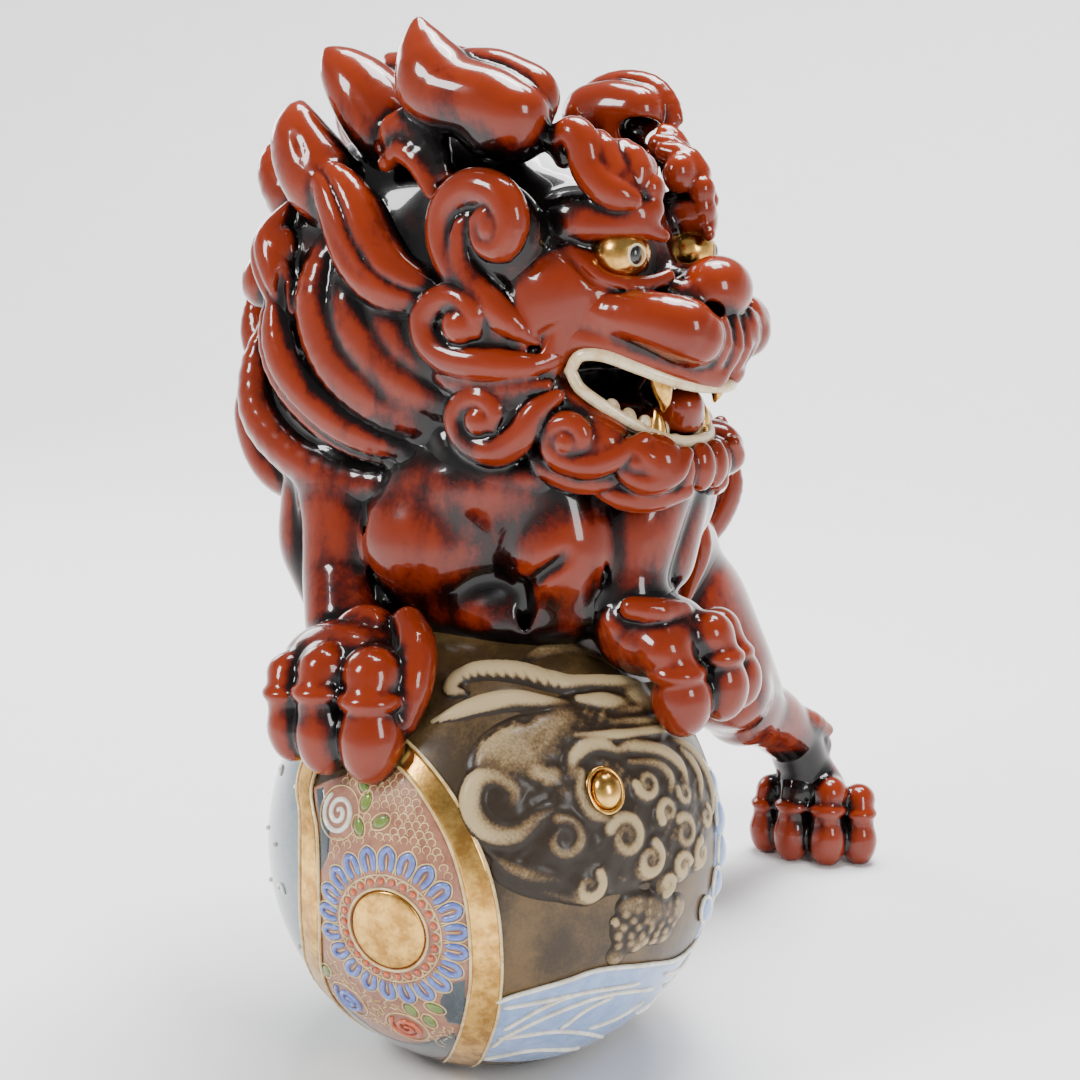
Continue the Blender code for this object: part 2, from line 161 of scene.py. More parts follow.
class Clay:
    """A block of distances to the clay's surface, negative inside, and the strokes of each piece."""

    def __init__(self, low, high, cell):
        self.cell = cell
        self.low = np.array(low, float)
        self.shape = tuple(int(n) for n in np.ceil((np.array(high) - self.low) / cell) + 1)
        self.field = np.full(self.shape, FAR, np.float32)
        self.own = {}

    def window(self, low, high, margin):
        """The slices of the block round a box, and the coordinates of their cells along each axis."""
        start = np.clip(np.floor((low - margin - self.low) / self.cell), 0, None).astype(int)
        stop = np.minimum(np.ceil((high + margin - self.low) / self.cell).astype(int) + 1, self.shape)
        where = tuple(slice(int(a), int(b)) for a, b in zip(start, stop))
        lines = [(self.low[i] + self.cell * np.arange(start[i], stop[i])).astype(np.float32) for i in range(3)]
        return where, lines[0][:, None, None], lines[1][None, :, None], lines[2][None, None, :]

    def lay(self, piece, where, distance, blend, cut=False):
        """Adds the distances to the block. A piece of None only cuts or fills without owning anything."""
        part = self.field[where]
        if cut:
            self.field[where] = -blended(-part, distance, blend)
            return
        self.field[where] = blended(part, distance, blend)
        self.own.setdefault(piece, []).append((where, distance))

    def oval(self, piece, at, radii, blend=3.0, turn=(0, 0, 0), place=BODY, cut=False):
        """An ellipsoid: with q = p/r and s = p/r2, the distance is |q|(|q| - 1)/|s|."""
        self.loft(piece, [(at, radii), (at, radii)], blend, turn, place, cut, 1)

    def loft(self, piece, ovals, blend=3.0, turn=(0, 0, 0), place=BODY, cut=False, steps=10):
        """Ellipsoids that change evenly from each of the given ones to the next, run together."""
        radii = np.array([np.broadcast_to(np.array(r, float), 3) for _, r in ovals])
        centres = place.point([at for at, _ in ovals])
        axes = place.axes(turn)
        reach = np.sqrt(((axes[None] * radii[:, None, :]) ** 2).sum(2))
        where, x, y, z = self.window((centres - reach).min(0), (centres + reach).max(0), blend + 2 * self.cell)
        total = None
        count = max(1, steps * (len(ovals) - 1))
        for i in range(count):
            t = i / max(1, count - 1) * (len(ovals) - 1)
            k = min(int(t), len(ovals) - 2)
            t -= k
            c = centres[k] * (1 - t) + centres[k + 1] * t
            r = radii[k] * (1 - t) + radii[k + 1] * t
            q2 = s2 = 0
            for j in range(3):
                u = along_way(x - np.float32(c[0]), y - np.float32(c[1]), z - np.float32(c[2]), axes[:, j])
                u = (u / np.float32(r[j])) ** 2
                q2 = q2 + u
                s2 = s2 + u / np.float32(r[j] ** 2)
            q = np.sqrt(q2)
            d = q * (q - 1) / np.sqrt(s2 + np.float32(TINY))
            total = d if total is None else blended(total, d, OVAL_JOIN)
        self.lay(piece, where, total, blend, cut)

    def rope(self, piece, points, radii, blend=2.0, place=BODY, cut=False, flat=1.0, out=None, ridges=0, groove=0.0,
             steps=None):
        """A rope along a curve: each short length is a capsule. With flat under 1 its thickness along the outward
        direction is that share of its width, and ridges along it are cut by a cusped wave of that depth."""
        p = place.point(points)
        r = np.interp(np.linspace(0, 1, len(p)), np.linspace(0, 1, len(radii)), radii)
        length = np.linalg.norm(np.diff(p, axis=0), axis=1).sum()
        count = steps or int(np.clip(length / 3.0, 5, 26))
        line = spline(np.column_stack([p, r]), count)
        p, r = line[:, :3], np.maximum(line[:, 3], THINNEST)
        reach = blend + 2 * self.cell
        where, x, y, z = self.window(p.min(0) - r.max(), p.max(0) + r.max(), reach)
        total = np.full((x.size, y.size, z.size), FAR, np.float32)
        start = [s.start for s in where]
        away = None if out is None else place.point([out])[0]
        for a, b, ra, rb in zip(p[:-1], p[1:], r[:-1], r[1:]):
            big = max(ra, rb)
            part, u, v, w = self.window(np.minimum(a, b) - big, np.maximum(a, b) + big, reach)
            inner = tuple(slice(s.start - o, s.stop - o) for s, o in zip(part, start))
            step = b - a
            size = float(np.linalg.norm(step)) or 1e-6
            e = step / size
            u, v, w = u - np.float32(a[0]), v - np.float32(a[1]), w - np.float32(a[2])
            along = along_way(u, v, w, e)
            t = np.clip(along / np.float32(size), 0, 1)
            rad = np.float32(ra) + t * np.float32(rb - ra)
            over = along - t * np.float32(size)
            if away is None:
                across = np.maximum(u * u + v * v + w * w - along * along, 0)
                d = np.sqrt(across + over * over) - rad
            else:
                n = (a + b) / 2 - away
                n = n - e * (n @ e)
                n = n / np.linalg.norm(n)
                side, lift = along_way(u, v, w, np.cross(e, n)), along_way(u, v, w, n)
                thin = rad * np.float32(flat)
                q2 = (side / rad) ** 2 + (lift / thin) ** 2 + (over / thin) ** 2
                s2 = (side / rad**2) ** 2 + (lift / thin**2) ** 2 + (over / thin**2) ** 2
                q = np.sqrt(q2)
                d = q * (q - 1) / np.sqrt(s2 + np.float32(TINY))
                if ridges:
                    wave = 1 - np.abs(np.sin((side / rad + 1) * np.float32(math.pi * ridges / 2)))
                    d = d + np.float32(groove) * wave * wave
            total[inner] = np.minimum(total[inner], d) if away is None else blended(total[inner], d, ROPE_JOIN)
        self.lay(piece, where, total, blend, cut)

    def curl(self, piece, at, out, size, thick, turns=1.4, start=0.0, hand=1, blend=1.6, place=BODY):
        """A snail curl: a rope that winds inwards on a spiral r = R(1 - t), facing outwards, over a low dome."""
        out, e1, e2 = facing(out)
        steps = int(14 * turns)
        t = np.linspace(0, 1, steps + 1)
        angle = math.radians(start) + hand * 2 * math.pi * turns * t
        r = (size - thick) * (1 - t) ** 0.8 + 0.3
        points = np.array(at) + np.outer(r * np.cos(angle), e1) + np.outer(r * np.sin(angle), e2)
        points = points + np.outer(thick * 0.8 * t, out)
        flat = Place(place.point([at])[0], place.turn @ np.diag(place.mirror) @ np.column_stack([e1, e2, out]))
        self.oval(piece, (0, 0, -thick * 0.55), np.array([0.96, 0.96, 0.75]) * size, blend, place=flat)
        self.rope(piece, points, thick * (1 - 0.45 * t), blend * 0.6, place, steps=steps + 1)

    def groove(self, points, radii, blend=1.2, place=BODY):
        """A rope that is taken out of the clay instead of laid on it."""
        self.rope(None, points, radii, blend, place, cut=True)

    def whole(self, piece):
        """The piece's own distances, over the window of all its strokes."""
        strokes = self.own[piece]
        start = np.min([[s.start for s in w] for w, _ in strokes], 0)
        stop = np.max([[s.stop for s in w] for w, _ in strokes], 0)
        block = np.full(tuple(stop - start), FAR, np.float32)
        for where, d in strokes:
            inner = tuple(slice(s.start - o, s.stop - o) for s, o in zip(where, start))
            block[inner] = np.minimum(block[inner], d)
        return tuple(slice(int(a), int(b)) for a, b in zip(start, stop)), block


def smoothed(block, radius, times=2):
    """A block or sheet averaged over that many cells each way, done a few times, one axis at a time."""
    size = 2 * radius + 1
    for _ in range(times):
        for axis in range(block.ndim):
            pad = [(0, 0)] * block.ndim
            pad[axis] = (radius + 1, radius)
            sums = np.cumsum(np.pad(block, pad, mode="edge"), axis=axis, dtype=block.dtype)
            high, low = [slice(None)] * block.ndim, [slice(None)] * block.ndim
            high[axis], low[axis] = slice(size, None), slice(None, -size)
            block = (sums[tuple(high)] - sums[tuple(low)]) / size
    return block


def sample(block, p):
    """Values of a block at points in grid steps, each the even mix of its cell's eight corners."""
    p = np.clip(p, 0, np.array(block.shape) - 1.001)
    i = p.astype(np.int32)
    t = (p - i).astype(np.float32)
    total = 0
    for dx in (0, 1):
        for dy in (0, 1):
            for dz in (0, 1):
                w = np.where(dx, t[:, 0], 1 - t[:, 0]) * np.where(dy, t[:, 1], 1 - t[:, 1])
                w = w * np.where(dz, t[:, 2], 1 - t[:, 2])
                total = total + w * block[i[:, 0] + dx, i[:, 1] + dy, i[:, 2] + dz]
    return total


def slope(block, p):
    """How fast a block's values change at points, along each axis."""
    return np.stack([(sample(block, p + e) - sample(block, p - e)) for e in 0.6 * np.eye(3)], 1) / 1.2


def skin(block):
    """Surface nets: a vertex in each cell that the surface crosses, and a quad round each crossed grid line."""
    stride = np.array([block.shape[1] * block.shape[2], block.shape[2], 1])
    inside = block < 0
    faces, crossings = [], []
    for axis in range(3):
        front, back = [slice(None)] * 3, [slice(None)] * 3
        front[axis], back[axis] = slice(None, -1), slice(1, None)
        at = np.argwhere(inside[tuple(front)] != inside[tuple(back)])
        step = np.eye(3, dtype=int)[axis]
        va, vb = block[tuple(at.T)], block[tuple((at + step).T)]
        p = at.astype(np.float32)
        p[:, axis] += va / (va - vb)
        u, v = np.eye(3, dtype=int)[(axis + 1) % 3], np.eye(3, dtype=int)[(axis + 2) % 3]
        quad = np.stack([(at + o) @ stride for o in (0 * u, -u, -u - v, -v)], 1)
        turned = va > 0
        quad[turned] = quad[turned][:, ::-1]
        faces.append(quad)
        crossings.append(p)
    faces, crossings = np.concatenate(faces), np.concatenate(crossings)
    _, index = np.unique(faces, return_inverse=True)
    index = index.reshape(-1)
    many = np.bincount(index)
    points = np.stack([np.bincount(index, np.repeat(crossings[:, k], 4)) / many for k in range(3)], 1)
    return points, index.reshape(-1, 4)


def relaxed(points, faces, block, rounds=3):
    """Evens the vertices out, and puts them back on the surface along its slope."""
    a, b = faces.reshape(-1), np.roll(faces, -1, axis=1).reshape(-1)
    many = np.bincount(a, minlength=len(points)) + np.bincount(b, minlength=len(points))
    for _ in range(rounds):
        mean = np.stack([
            np.bincount(a, points[b, k], len(points)) + np.bincount(b, points[a, k], len(points)) for k in range(3)
        ], 1) / many[:, None]
        points = points * 0.4 + mean * 0.6
        for _ in range(2):
            g = slope(block, points)
            d = sample(block, points)
            move = g * (d / np.maximum((g * g).sum(1), 0.05))[:, None]
            points = points - np.clip(move, -0.5, 0.5)
    return points


def largest_bodies(count, faces, least):
    """Which vertices belong to a connected body of at least that many vertices."""
    label = np.arange(count)
    a, b = faces.reshape(-1), np.roll(faces, -1, axis=1).reshape(-1)
    while True:
        low = np.minimum(label[a], label[b])
        new = label.copy()
        np.minimum.at(new, a, low)
        np.minimum.at(new, b, low)
        new = new[new]
        new = new[new]
        if (new == label).all():
            break
        label = new
    return np.bincount(label, minlength=count)[label] >= least


def new_piece(name, points, faces, finish, slot, replaces=(), attributes=None):
    """Writes a mesh in metres at the origin, shades it smooth, hangs it under the root, and hides the frame's parts
    that it replaces.
    """
    mesh = bpy.data.meshes.new(name)
    points = (np.asarray(points, float) + AXIS) * MM
    faces = np.asarray(faces)
    mesh.vertices.add(len(points))
    mesh.vertices.foreach_set("co", points.astype(np.float32).ravel())
    mesh.loops.add(faces.size)
    mesh.loops.foreach_set("vertex_index", faces.astype(np.int32).ravel())
    mesh.polygons.add(len(faces))
    mesh.polygons.foreach_set("loop_start", np.arange(0, faces.size, faces.shape[1], dtype=np.int32))
    mesh.polygons.foreach_set("use_smooth", np.ones(len(faces), bool))
    mesh.update(calc_edges=True)
    mesh.validate()
    for key, values in (attributes or {}).items():
        layer = mesh.attributes.new(key, "FLOAT", "POINT")
        layer.data.foreach_set("value", np.asarray(values, np.float32))
    obj = bpy.data.objects.new(name, mesh)
    bpy.context.scene.collection.objects.link(obj)
    mesh.materials.append(finish)
    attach(obj, "root")
    if replaces:
        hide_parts(*replaces)
    return obj


# ---------------------------------------------------------------- the lion's clay


def model_torso(clay):
    """Chest, belly, rump and back: ovals run together along the spine, with the breast muscles over them."""
    spine = [((2, 16, 174), (44, 38, 42)), ((-2, 60, 168), (38, 40, 41)), ((0, 104, 148), (32, 38, 37)),
             ((0, 146, 124), (30, 36, 38))]
    clay.loft("torso", spine, 6, steps=9)
    clay.oval("torso", (-17, -8, 163), (24, 21, 22), 5)
    clay.oval("torso", (25, -5, 163), (18, 19, 21), 4)
    clay.oval("torso", (2, -6, 182), (34, 20, 14), 8)
    clay.oval("torso", (48, 30, 178), (14, 20, 22), 5)
    clay.loft("torso", [((-20, -2, 146), (16, 16, 16)), ((6, -4, 140), (22, 18, 14)), ((26, 0, 146), (14, 16, 14))],
            5, steps=6)
    clay.oval("torso", (-50, 22, 180), (16, 20, 22), 5)
    for i, (x, y, z) in enumerate(((0, 92, 189), (0, 106, 182), (0, 119, 174), (1, 131, 167), (1, 143, 161),
            (1, 154, 153))):
        clay.oval("torso", (x, y, z), (7 - 0.4 * i, 7.5, 6), 3)
    for side in (-1, 1):
        for y, z in ((74, 150), (88, 146), (102, 138)):
            clay.rope("torso", [(side * 30, y, z + 26), (side * 38, y - 2, z + 8), (side * 33, y - 4, z - 12)],
                    (1.5, 3, 1.5), 9)
    clay.groove([(-8, -34, 167), (3, -27.5, 162), (11, -25, 158), (17, -22, 153)], (0.8, 1.6, 1.0), 4)
    clay.groove([(42, -28, 169), (32, -23, 162), (25, -22, 157), (19, -22, 152)], (0.8, 1.4, 1.0), 4)
    clay.groove([(-26, -38, 156), (-14, -31, 149), (-2, -29, 145), (10, -26, 146)], (0.3, 1.8, 1.2), 3)
    clay.groove([(18, -20, 152), (18, -18, 144), (16, -14, 136)], (1.6, 1.6, 1.6), 4)


def model_forelegs(clay):
    """The forelegs: a thick upper arm and a forearm that narrows to the wrist, with a muscle behind each."""
    name = "foreleg_right"
    clay.loft(name, [((-50, 0, 182), (18, 17, 15)), ((-45, -8, 164), (16, 15, 16)), ((-45, -13, 149), (13.5, 13, 14)),
            ((-39, -24, 137), (13, 12, 11))], 4, steps=7)
    clay.loft(name, [((-62, 2, 178), (11, 13, 14)), ((-63, 0, 158), (11.5, 13, 14)), ((-56, -6, 142), (7.5, 9, 9))],
            1.4, steps=6)
    clay.groove([(-58, -12, 176), (-58, -15, 160), (-54, -18, 146)], (1.0, 2.2, 1.2), 2)
    clay.groove([(-34, -22, 172), (-31, -20, 158), (-30, -22, 144)], (0.8, 1.6, 0.8), 2.5)
    clay.curl(name, (-50, -22, 132), (-0.6, -0.8, 0.1), 6.5, 2.8, 1.1, 200, 1)
    name = "foreleg_left"
    clay.loft(name, [((46, 14, 184), (15, 16, 16)), ((44, 6, 168), (14, 14, 14)), ((43, 3, 154), (12, 12, 12)),
            ((45, 0, 143), (12, 12, 10))], 4, steps=7)
    clay.loft(name, [((53, 22, 174), (9, 11, 12)), ((51, 16, 158), (9, 11, 12))], 1.4, steps=5)
    clay.groove([(36, -9, 178), (38, -10, 166), (41, -10, 154)], (0.8, 1.8, 0.8), 2)


def toe(clay, name, knuckle, ring, pad, width, place=BODY):
    """A toe: a round knuckle, a flat ring of skin and a long drooping pad."""
    knuckle, ring, pad = (np.array(p, float) for p in (knuckle, ring, pad))
    tip = pad + (pad - ring) * 0.35
    clay.oval(name, knuckle, (width * 1.05, width * 1.1, width), 2.2, place=place)
    clay.rope(name, [knuckle, ring, pad], [width * 0.9, width * 0.9, width * 0.95], 1.0, place=place)
    clay.loft(name, [(pad, (width * 1.12, width * 1.12, width * 1.2)), (tip, (width * 0.95, width, width * 1.1))],
            1.4, place=place, steps=4)
    clay.oval(name, ring, (width * 1.12, width * 1.08, width * 0.5), 0.9, place=place)


def model_forepaws(clay):
    """The right forepaw grips the ball's front, the left one its side; each has a curl at the wrist."""
    name = "forepaw_right"
    clay.oval(name, (-27, -42, 128), (23, 17, 15), 4)
    clay.oval(name, (-24, -50, 112), (20, 12, 13), 4)
    toe(clay, name, (-42, -54, 128), (-41, -58, 123.5), (-39.5, -58, 113.5), 6.6)
    toe(clay, name, (-29, -56, 131), (-29, -60, 125.5), (-27.5, -60.5, 113.5), 7.6)
    toe(clay, name, (-14, -55, 130), (-13, -59, 124.5), (-12, -60.5, 113.5), 8.8)
    clay.rope(name, [(-12, -36, 142), (-6, -43, 137), (-4, -50, 128), (-5, -55, 118)], (5, 6, 6.4, 5), 1.4)
    clay.curl(name, (-24, -41, 138.5), (-0.05, -0.78, 0.6), 10.5, 4.2, 1.3, 200, -1)
    name = "forepaw_left"
    clay.oval(name, (52, 2, 136), (18, 18, 13), 4)
    toe(clay, name, (59, -9, 134), (63, -10, 128), (64.5, -9, 120), 8.2)
    toe(clay, name, (69, 3, 137), (72, 3, 131), (73, 3.5, 122), 7.4)
    toe(clay, name, (67, 18, 135), (71, 18, 129), (73, 19, 121), 7.2)
    clay.curl(name, (46, -9, 142), (0.2, -0.78, 0.58), 8.5, 3.6, 1.3, 20, 1)
    clay.rope(name, [(50, -13, 147), (57, -10, 146), (62, -2, 145)], (3.6, 4.2, 3), 1.2)


def model_hind_leg(clay, side, name):
    """A hind leg: a deep thigh, a bent shank, a hock with a curl, and a broad paw of four toes flat on the table."""
    put = Place(mirror=(side, 1, 1))
    leg, foot = "hind_leg_" + name, "hind_paw_" + name
    clay.loft(leg, [((21, 142, 104), (22, 33, 32)), ((33, 143, 88), (19, 26, 22)), ((38, 158, 74), (15, 18, 18))], 4,
              steps=8, place=put)
    clay.loft(leg, [((38, 156, 72), (13, 16, 15)), ((44, 176, 62), (13, 13, 13)), ((50, 192, 50), (11, 11, 12)),
            ((54, 198, 34), (11, 11, 12))], 3, steps=7, place=put)
    clay.oval(leg, (41, 136, 82), (13, 17, 14), 3, place=put)
    clay.oval(leg, (36, 158, 66), (12, 15, 10), 3, place=put)
    clay.groove([(58, 128, 98), (56, 148, 84), (54, 166, 76)], (1, 2, 1), 3, put)
    clay.curl(leg, (59, 200, 46), (0.9, -0.3, 0.3), 8, 3.2, 1.3, 90, 1, place=put)
    clay.rope(leg, [(48, 182, 62), (56, 190, 58), (62, 200, 52)], (3, 5, 3), 2, place=put)
    clay.oval(foot, (58, 203, 14), (21, 13.5, 14), 4, place=put)
    clay.oval(foot, (57, 199, 26), (14, 12, 13), 5, place=put)
    for knuckle, ring, pad, width in (((41, 196, 25), (40, 193, 20), (40, 192, 9.5), 6.4),
            ((53, 191, 28), (52, 188, 22.5), (52, 187, 10.5), 7.2),
            ((66, 191, 28), (66, 188, 22.5), (66.5, 187, 10.5), 7.2),
            ((77, 197, 25), (78, 194, 20.5), (78.5, 193, 9.5), 6.4)):
        toe(clay, foot, knuckle, ring, pad, width, put)


def model_tail(clay):
    """A short flame tail that lies up against the rump."""
    for points, radii in (([(0, 176, 118), (0, 190, 130), (0, 199, 150), (-2, 196, 172), (2, 186, 192)],
            (8, 12, 13, 9, 1.5)), ([(4, 184, 126), (14, 190, 140), (20, 192, 156), (16, 188, 170)], (7, 9, 7, 1.2)),
            ([(-4, 184, 126), (-14, 190, 138), (-22, 192, 152), (-18, 188, 166)], (7, 9, 7, 1.2))):
        clay.rope("tail", points, radii, 1.4, flat=0.75, out=(0, 150, 140), ridges=3, groove=1.6)


def model_skull(clay):
    """Skull, cheeks, mouth and jaws, first on both sides alike, then the mouth is cut and the tongue laid in it."""
    clay.loft("head", [((2, 0, 8), (38, 37, 41)), ((26, 0, 10), (28, 30, 31))], 5, place=HEAD, steps=5)
    clay.oval("head", (8, 0, -20), (34, 33, 28), 8, place=HEAD)
    clay.loft("lower_jaw", [((20, 0, -36), (16, 29, 15)), ((48, 0, -44), (14, 19, 10))], 4, place=HEAD, steps=6)
    clay.loft("muzzle", [((40, 0, -4), (18, 22, 13)), ((60, 0, -6), (14, 18, 12))], 5, place=HEAD, steps=5)
    for place, _ in SIDES:
        clay.loft("head", [((17, -24, -14), (20, 15, 22)), ((30, -25, 3), (15, 14, 16)),
                ((37, -24, 5), (12, 12, 12))], 4, place=place, steps=6)
        clay.rope("head", [(4, -32, -28), (20, -33, -26), (30, -31, -16)], (9, 10, 6), 5, place=place)
        clay.rope("muzzle", [(44, -25, -2), (52, -23.5, -2.5), (62, -20.5, -4), (69.5, -17, -6.5), (71, -15, -8)],
                  (6, 7.4, 8.6, 9.4, 8.8), 2.4, place=place)
        clay.rope("muzzle", [(31, -26, -22), (31, -27.5, -13), (38, -26, -9), (48, -24, -10), (58, -20, -13),
                (68, -12, -17), (72, -5, -19)], (5, 5.6, 5.6, 5.2, 5, 5, 5), 2, place=place)
        clay.rope("lower_jaw", [(28, -29, -21), (35, -28.5, -29), (46, -23.5, -37.5), (57, -15, -44), (62, 0, -46)],
                  (5, 6.5, 7.2, 7, 6.5), 2.4, place=place)
        clay.rope("muzzle", [(75, -9, -4), (76, -8.5, -10), (73.5, -8, -16)], (3.4, 3.8, 3), 0.7, place=place)
        clay.rope("muzzle", [(76, -2.8, -5), (77, -2.8, -11), (74.5, -2.8, -17)], (3.2, 3.6, 3), 0.7, place=place)
        clay.groove([(46, -32, -3), (54, -32, -7.5), (62, -29.5, -12), (70, -23, -16), (76, -16, -17)],
                (0.7, 1.9, 2.2, 1.9, 0.8), 1.8, place)
        clay.groove([(60, -25, -43), (49, -32, -36), (38, -35, -28), (31.5, -36, -21), (30, -36.5, -14),
                (34, -36.5, -8), (42, -35.5, -4.5)], (0.8, 2.0, 2.3, 2.0, 1.9, 1.6, 0.8), 2.0, place)
    clay.loft(None, [((38, 0, -18), (4.5, 31, 3.6)), ((50, 0, -24.5), (10, 26, 6)), ((68, 0, -31), (14, 17, 7))], 1.0,
              place=HEAD, steps=9, cut=True)
    clay.loft(None, [((30, 0, -22), (14, 22, 6)), ((52, 0, -28), (14, 17, 9))], 1.2, place=HEAD, steps=6, cut=True)
    clay.loft("tongue", [((34, 0, -34), (8, 12, 5)), ((50, 0, -37), (8, 9.5, 5)), ((60, -2, -33), (7, 8, 6))], 1,
            place=HEAD, steps=6)
    clay.oval("tongue", (62, -4, -29.5), (6, 6.4, 5.6), 1.5, place=HEAD)


def model_nose(clay):
    """A broad round nose with wings, dark nostrils, and snail curls of the moustache beside it."""
    clay.rope("nose", [(46, 0, 12), (54, 0, 5), (62, 0, 3)], (7, 8, 9), 3, place=HEAD)
    clay.oval("nose", (70, 0, 4.5), (10.5, 12, 10), 2.0, place=HEAD)
    for place, _ in SIDES:
        clay.oval("nose", (64.5, -9.5, 1.5), (8, 6.5, 6.4), 1.6, place=place)
        clay.oval(None, (73.5, -9.5, -1.5), (3.6, 3.0, 3.2), 1.0, place=place, cut=True)
        clay.groove([(53, -14, 12), (57, -16.5, 7), (62, -17, 3.5), (68, -15, 0)], (0.6, 1.4, 1.4, 0.6), 1.6, place)
    clay.curl("muzzle", (77, 7, -7), (0.85, 0.1, 0.1), 6.5, 2.6, 1.2, 100, -1, 0.8, HEAD)
    clay.curl("muzzle", (74, 16, -4), (0.8, 0.55, 0.2), 7, 2.8, 1.2, 200, 1, 0.8, HEAD)


def model_eye_and_brow(clay, place, side):
    """Eyelids round the eye, and a brow of twisted ropes that starts in a hook and ends in knobs over the nose."""
    clay.loft("head", [((36, -22, 25), (12, 9, 8)), ((50, -18, 26), (10, 8, 7))], 4, place=place, steps=4)
    clay.oval(None, (52.5, -22, 14.5), (8.2, 6.6, 5.2), 1.5, place=place, cut=True, turn=(0, 10, 0))
    clay.rope("head", [(36, -27, 22), (42, -27.5, 22.5), (49, -25, 22.5), (56, -20, 22), (60, -14, 20)],
              (1.4, 2.4, 2.8, 2.6, 2.0), 3.5, place=place)
    clay.rope("head", [(38, -29, 15.5), (43, -28.5, 9.5), (51, -24.5, 6.5), (58, -17.5, 6.5), (61, -12.5, 9)],
              (1.6, 2.6, 3.0, 2.6, 1.8), 2.6, place=place)
    clay.groove([(35, -33, 18), (41, -32, 13), (47, -30, 7), (54, -25, 4.5)], (0.4, 1.0, 1.0, 0.4), 1.6, place)
    name = "brow_" + side
    clay.rope(name, [(33.5, -25, 42), (33.5, -26, 46.5), (37.5, -26.5, 48.5), (41, -26.5, 45), (42.5, -26.5, 39.5),
            (46, -26, 35), (51, -25, 31.5), (55, -23.5, 30)], (3.2, 4.6, 5.2, 5.4, 5.4, 5.4, 5.0, 3.0), 0.8,
            place=place, steps=26)
    clay.rope(name, [(39, -20, 47), (43.5, -21.5, 45), (46.5, -22.5, 40.5), (50, -22.5, 35.5), (54, -21, 32)],
              (3.4, 4.6, 5.0, 4.8, 3.0), 0.8, place=place)
    clay.rope(name, [(44, -15, 44.5), (49.5, -16.5, 42.5), (53, -17.5, 38), (53, -18.5, 33.5), (51, -20, 31)],
              (3.2, 4.6, 5.0, 4.6, 3.0), 0.8, place=place)
    clay.oval(name, (56.5, -15.5, 33), (4.2, 4.4, 4.6), 0.8, place=place)
    clay.oval(name, (57, -16, 27.5), (3.8, 4.2, 4.4), 0.8, place=place)
    clay.oval(name, (51, -12, 38), (5, 6, 6), 1.4, place=place)


def model_ear(clay, place, side):
    """An ear: a fat flame of clay whose tip sweeps back, with a second lobe behind a crease, hollowed inside."""
    name = "ear_" + side
    if side == "left":
        clay.loft(name, [((10, -27, 56), (9, 8, 10)), ((19, -27, 57), (11, 8.5, 10)), ((28, -27, 57), (8, 8, 8))], 2,
                place=place)
        clay.rope(name, [(3, -33, 48), (4, -34, 56), (9, -34.5, 62.5), (18, -34.5, 65), (28, -34, 64),
                (35, -33, 59.5), (40, -32, 54.5)], (4, 5.6, 6, 6, 5.2, 3.8, 1.2), 1.4, place=place)
        clay.rope(name, [(37, -32, 55), (35, -31, 48), (29, -30, 43), (22, -29, 42)], (2.4, 3.4, 4, 4), 1.6,
                place=place)
        clay.oval(name, (14, -29, 46), (13, 11, 9), 5, place=place)
        clay.oval(None, (30, -25, 51), (7, 7, 5.5), 1.6, place=place, cut=True, turn=(0, 30, 0))
        return
    clay.loft(name, [((22, -33, 54), (10, 10.5, 9)), ((12, -34, 57.5), (13, 11.5, 10.5)),
            ((1, -34.5, 60), (13.5, 12, 11)), ((-5, -34.5, 63), (11.5, 11, 11.5))], 2, place=place, steps=6)
    clay.loft(name, [((-6, -34, 66), (10.5, 10.5, 10)), ((-9, -34, 71.5), (8, 7.5, 8)),
            ((-11, -33.5, 76.5), (4.4, 4.2, 5)), ((-11.5, -33.5, 80.5), (1.4, 1.4, 2.2))], 3, place=place, steps=5)
    clay.loft(name, [((0, -25, 65), (8, 7, 9)), ((9, -25, 63.5), (11, 7.5, 10)), ((20, -25, 59), (11, 8, 10))], 1.0,
            place=place, steps=5)
    clay.oval(name, (16, -29, 48), (13, 11, 8), 5, place=place)
    clay.loft(None, [((4, -17, 62), (8, 7.5, 6)), ((20, -17, 56), (10, 8, 6.5))], 2, place=place, cut=True, steps=5)


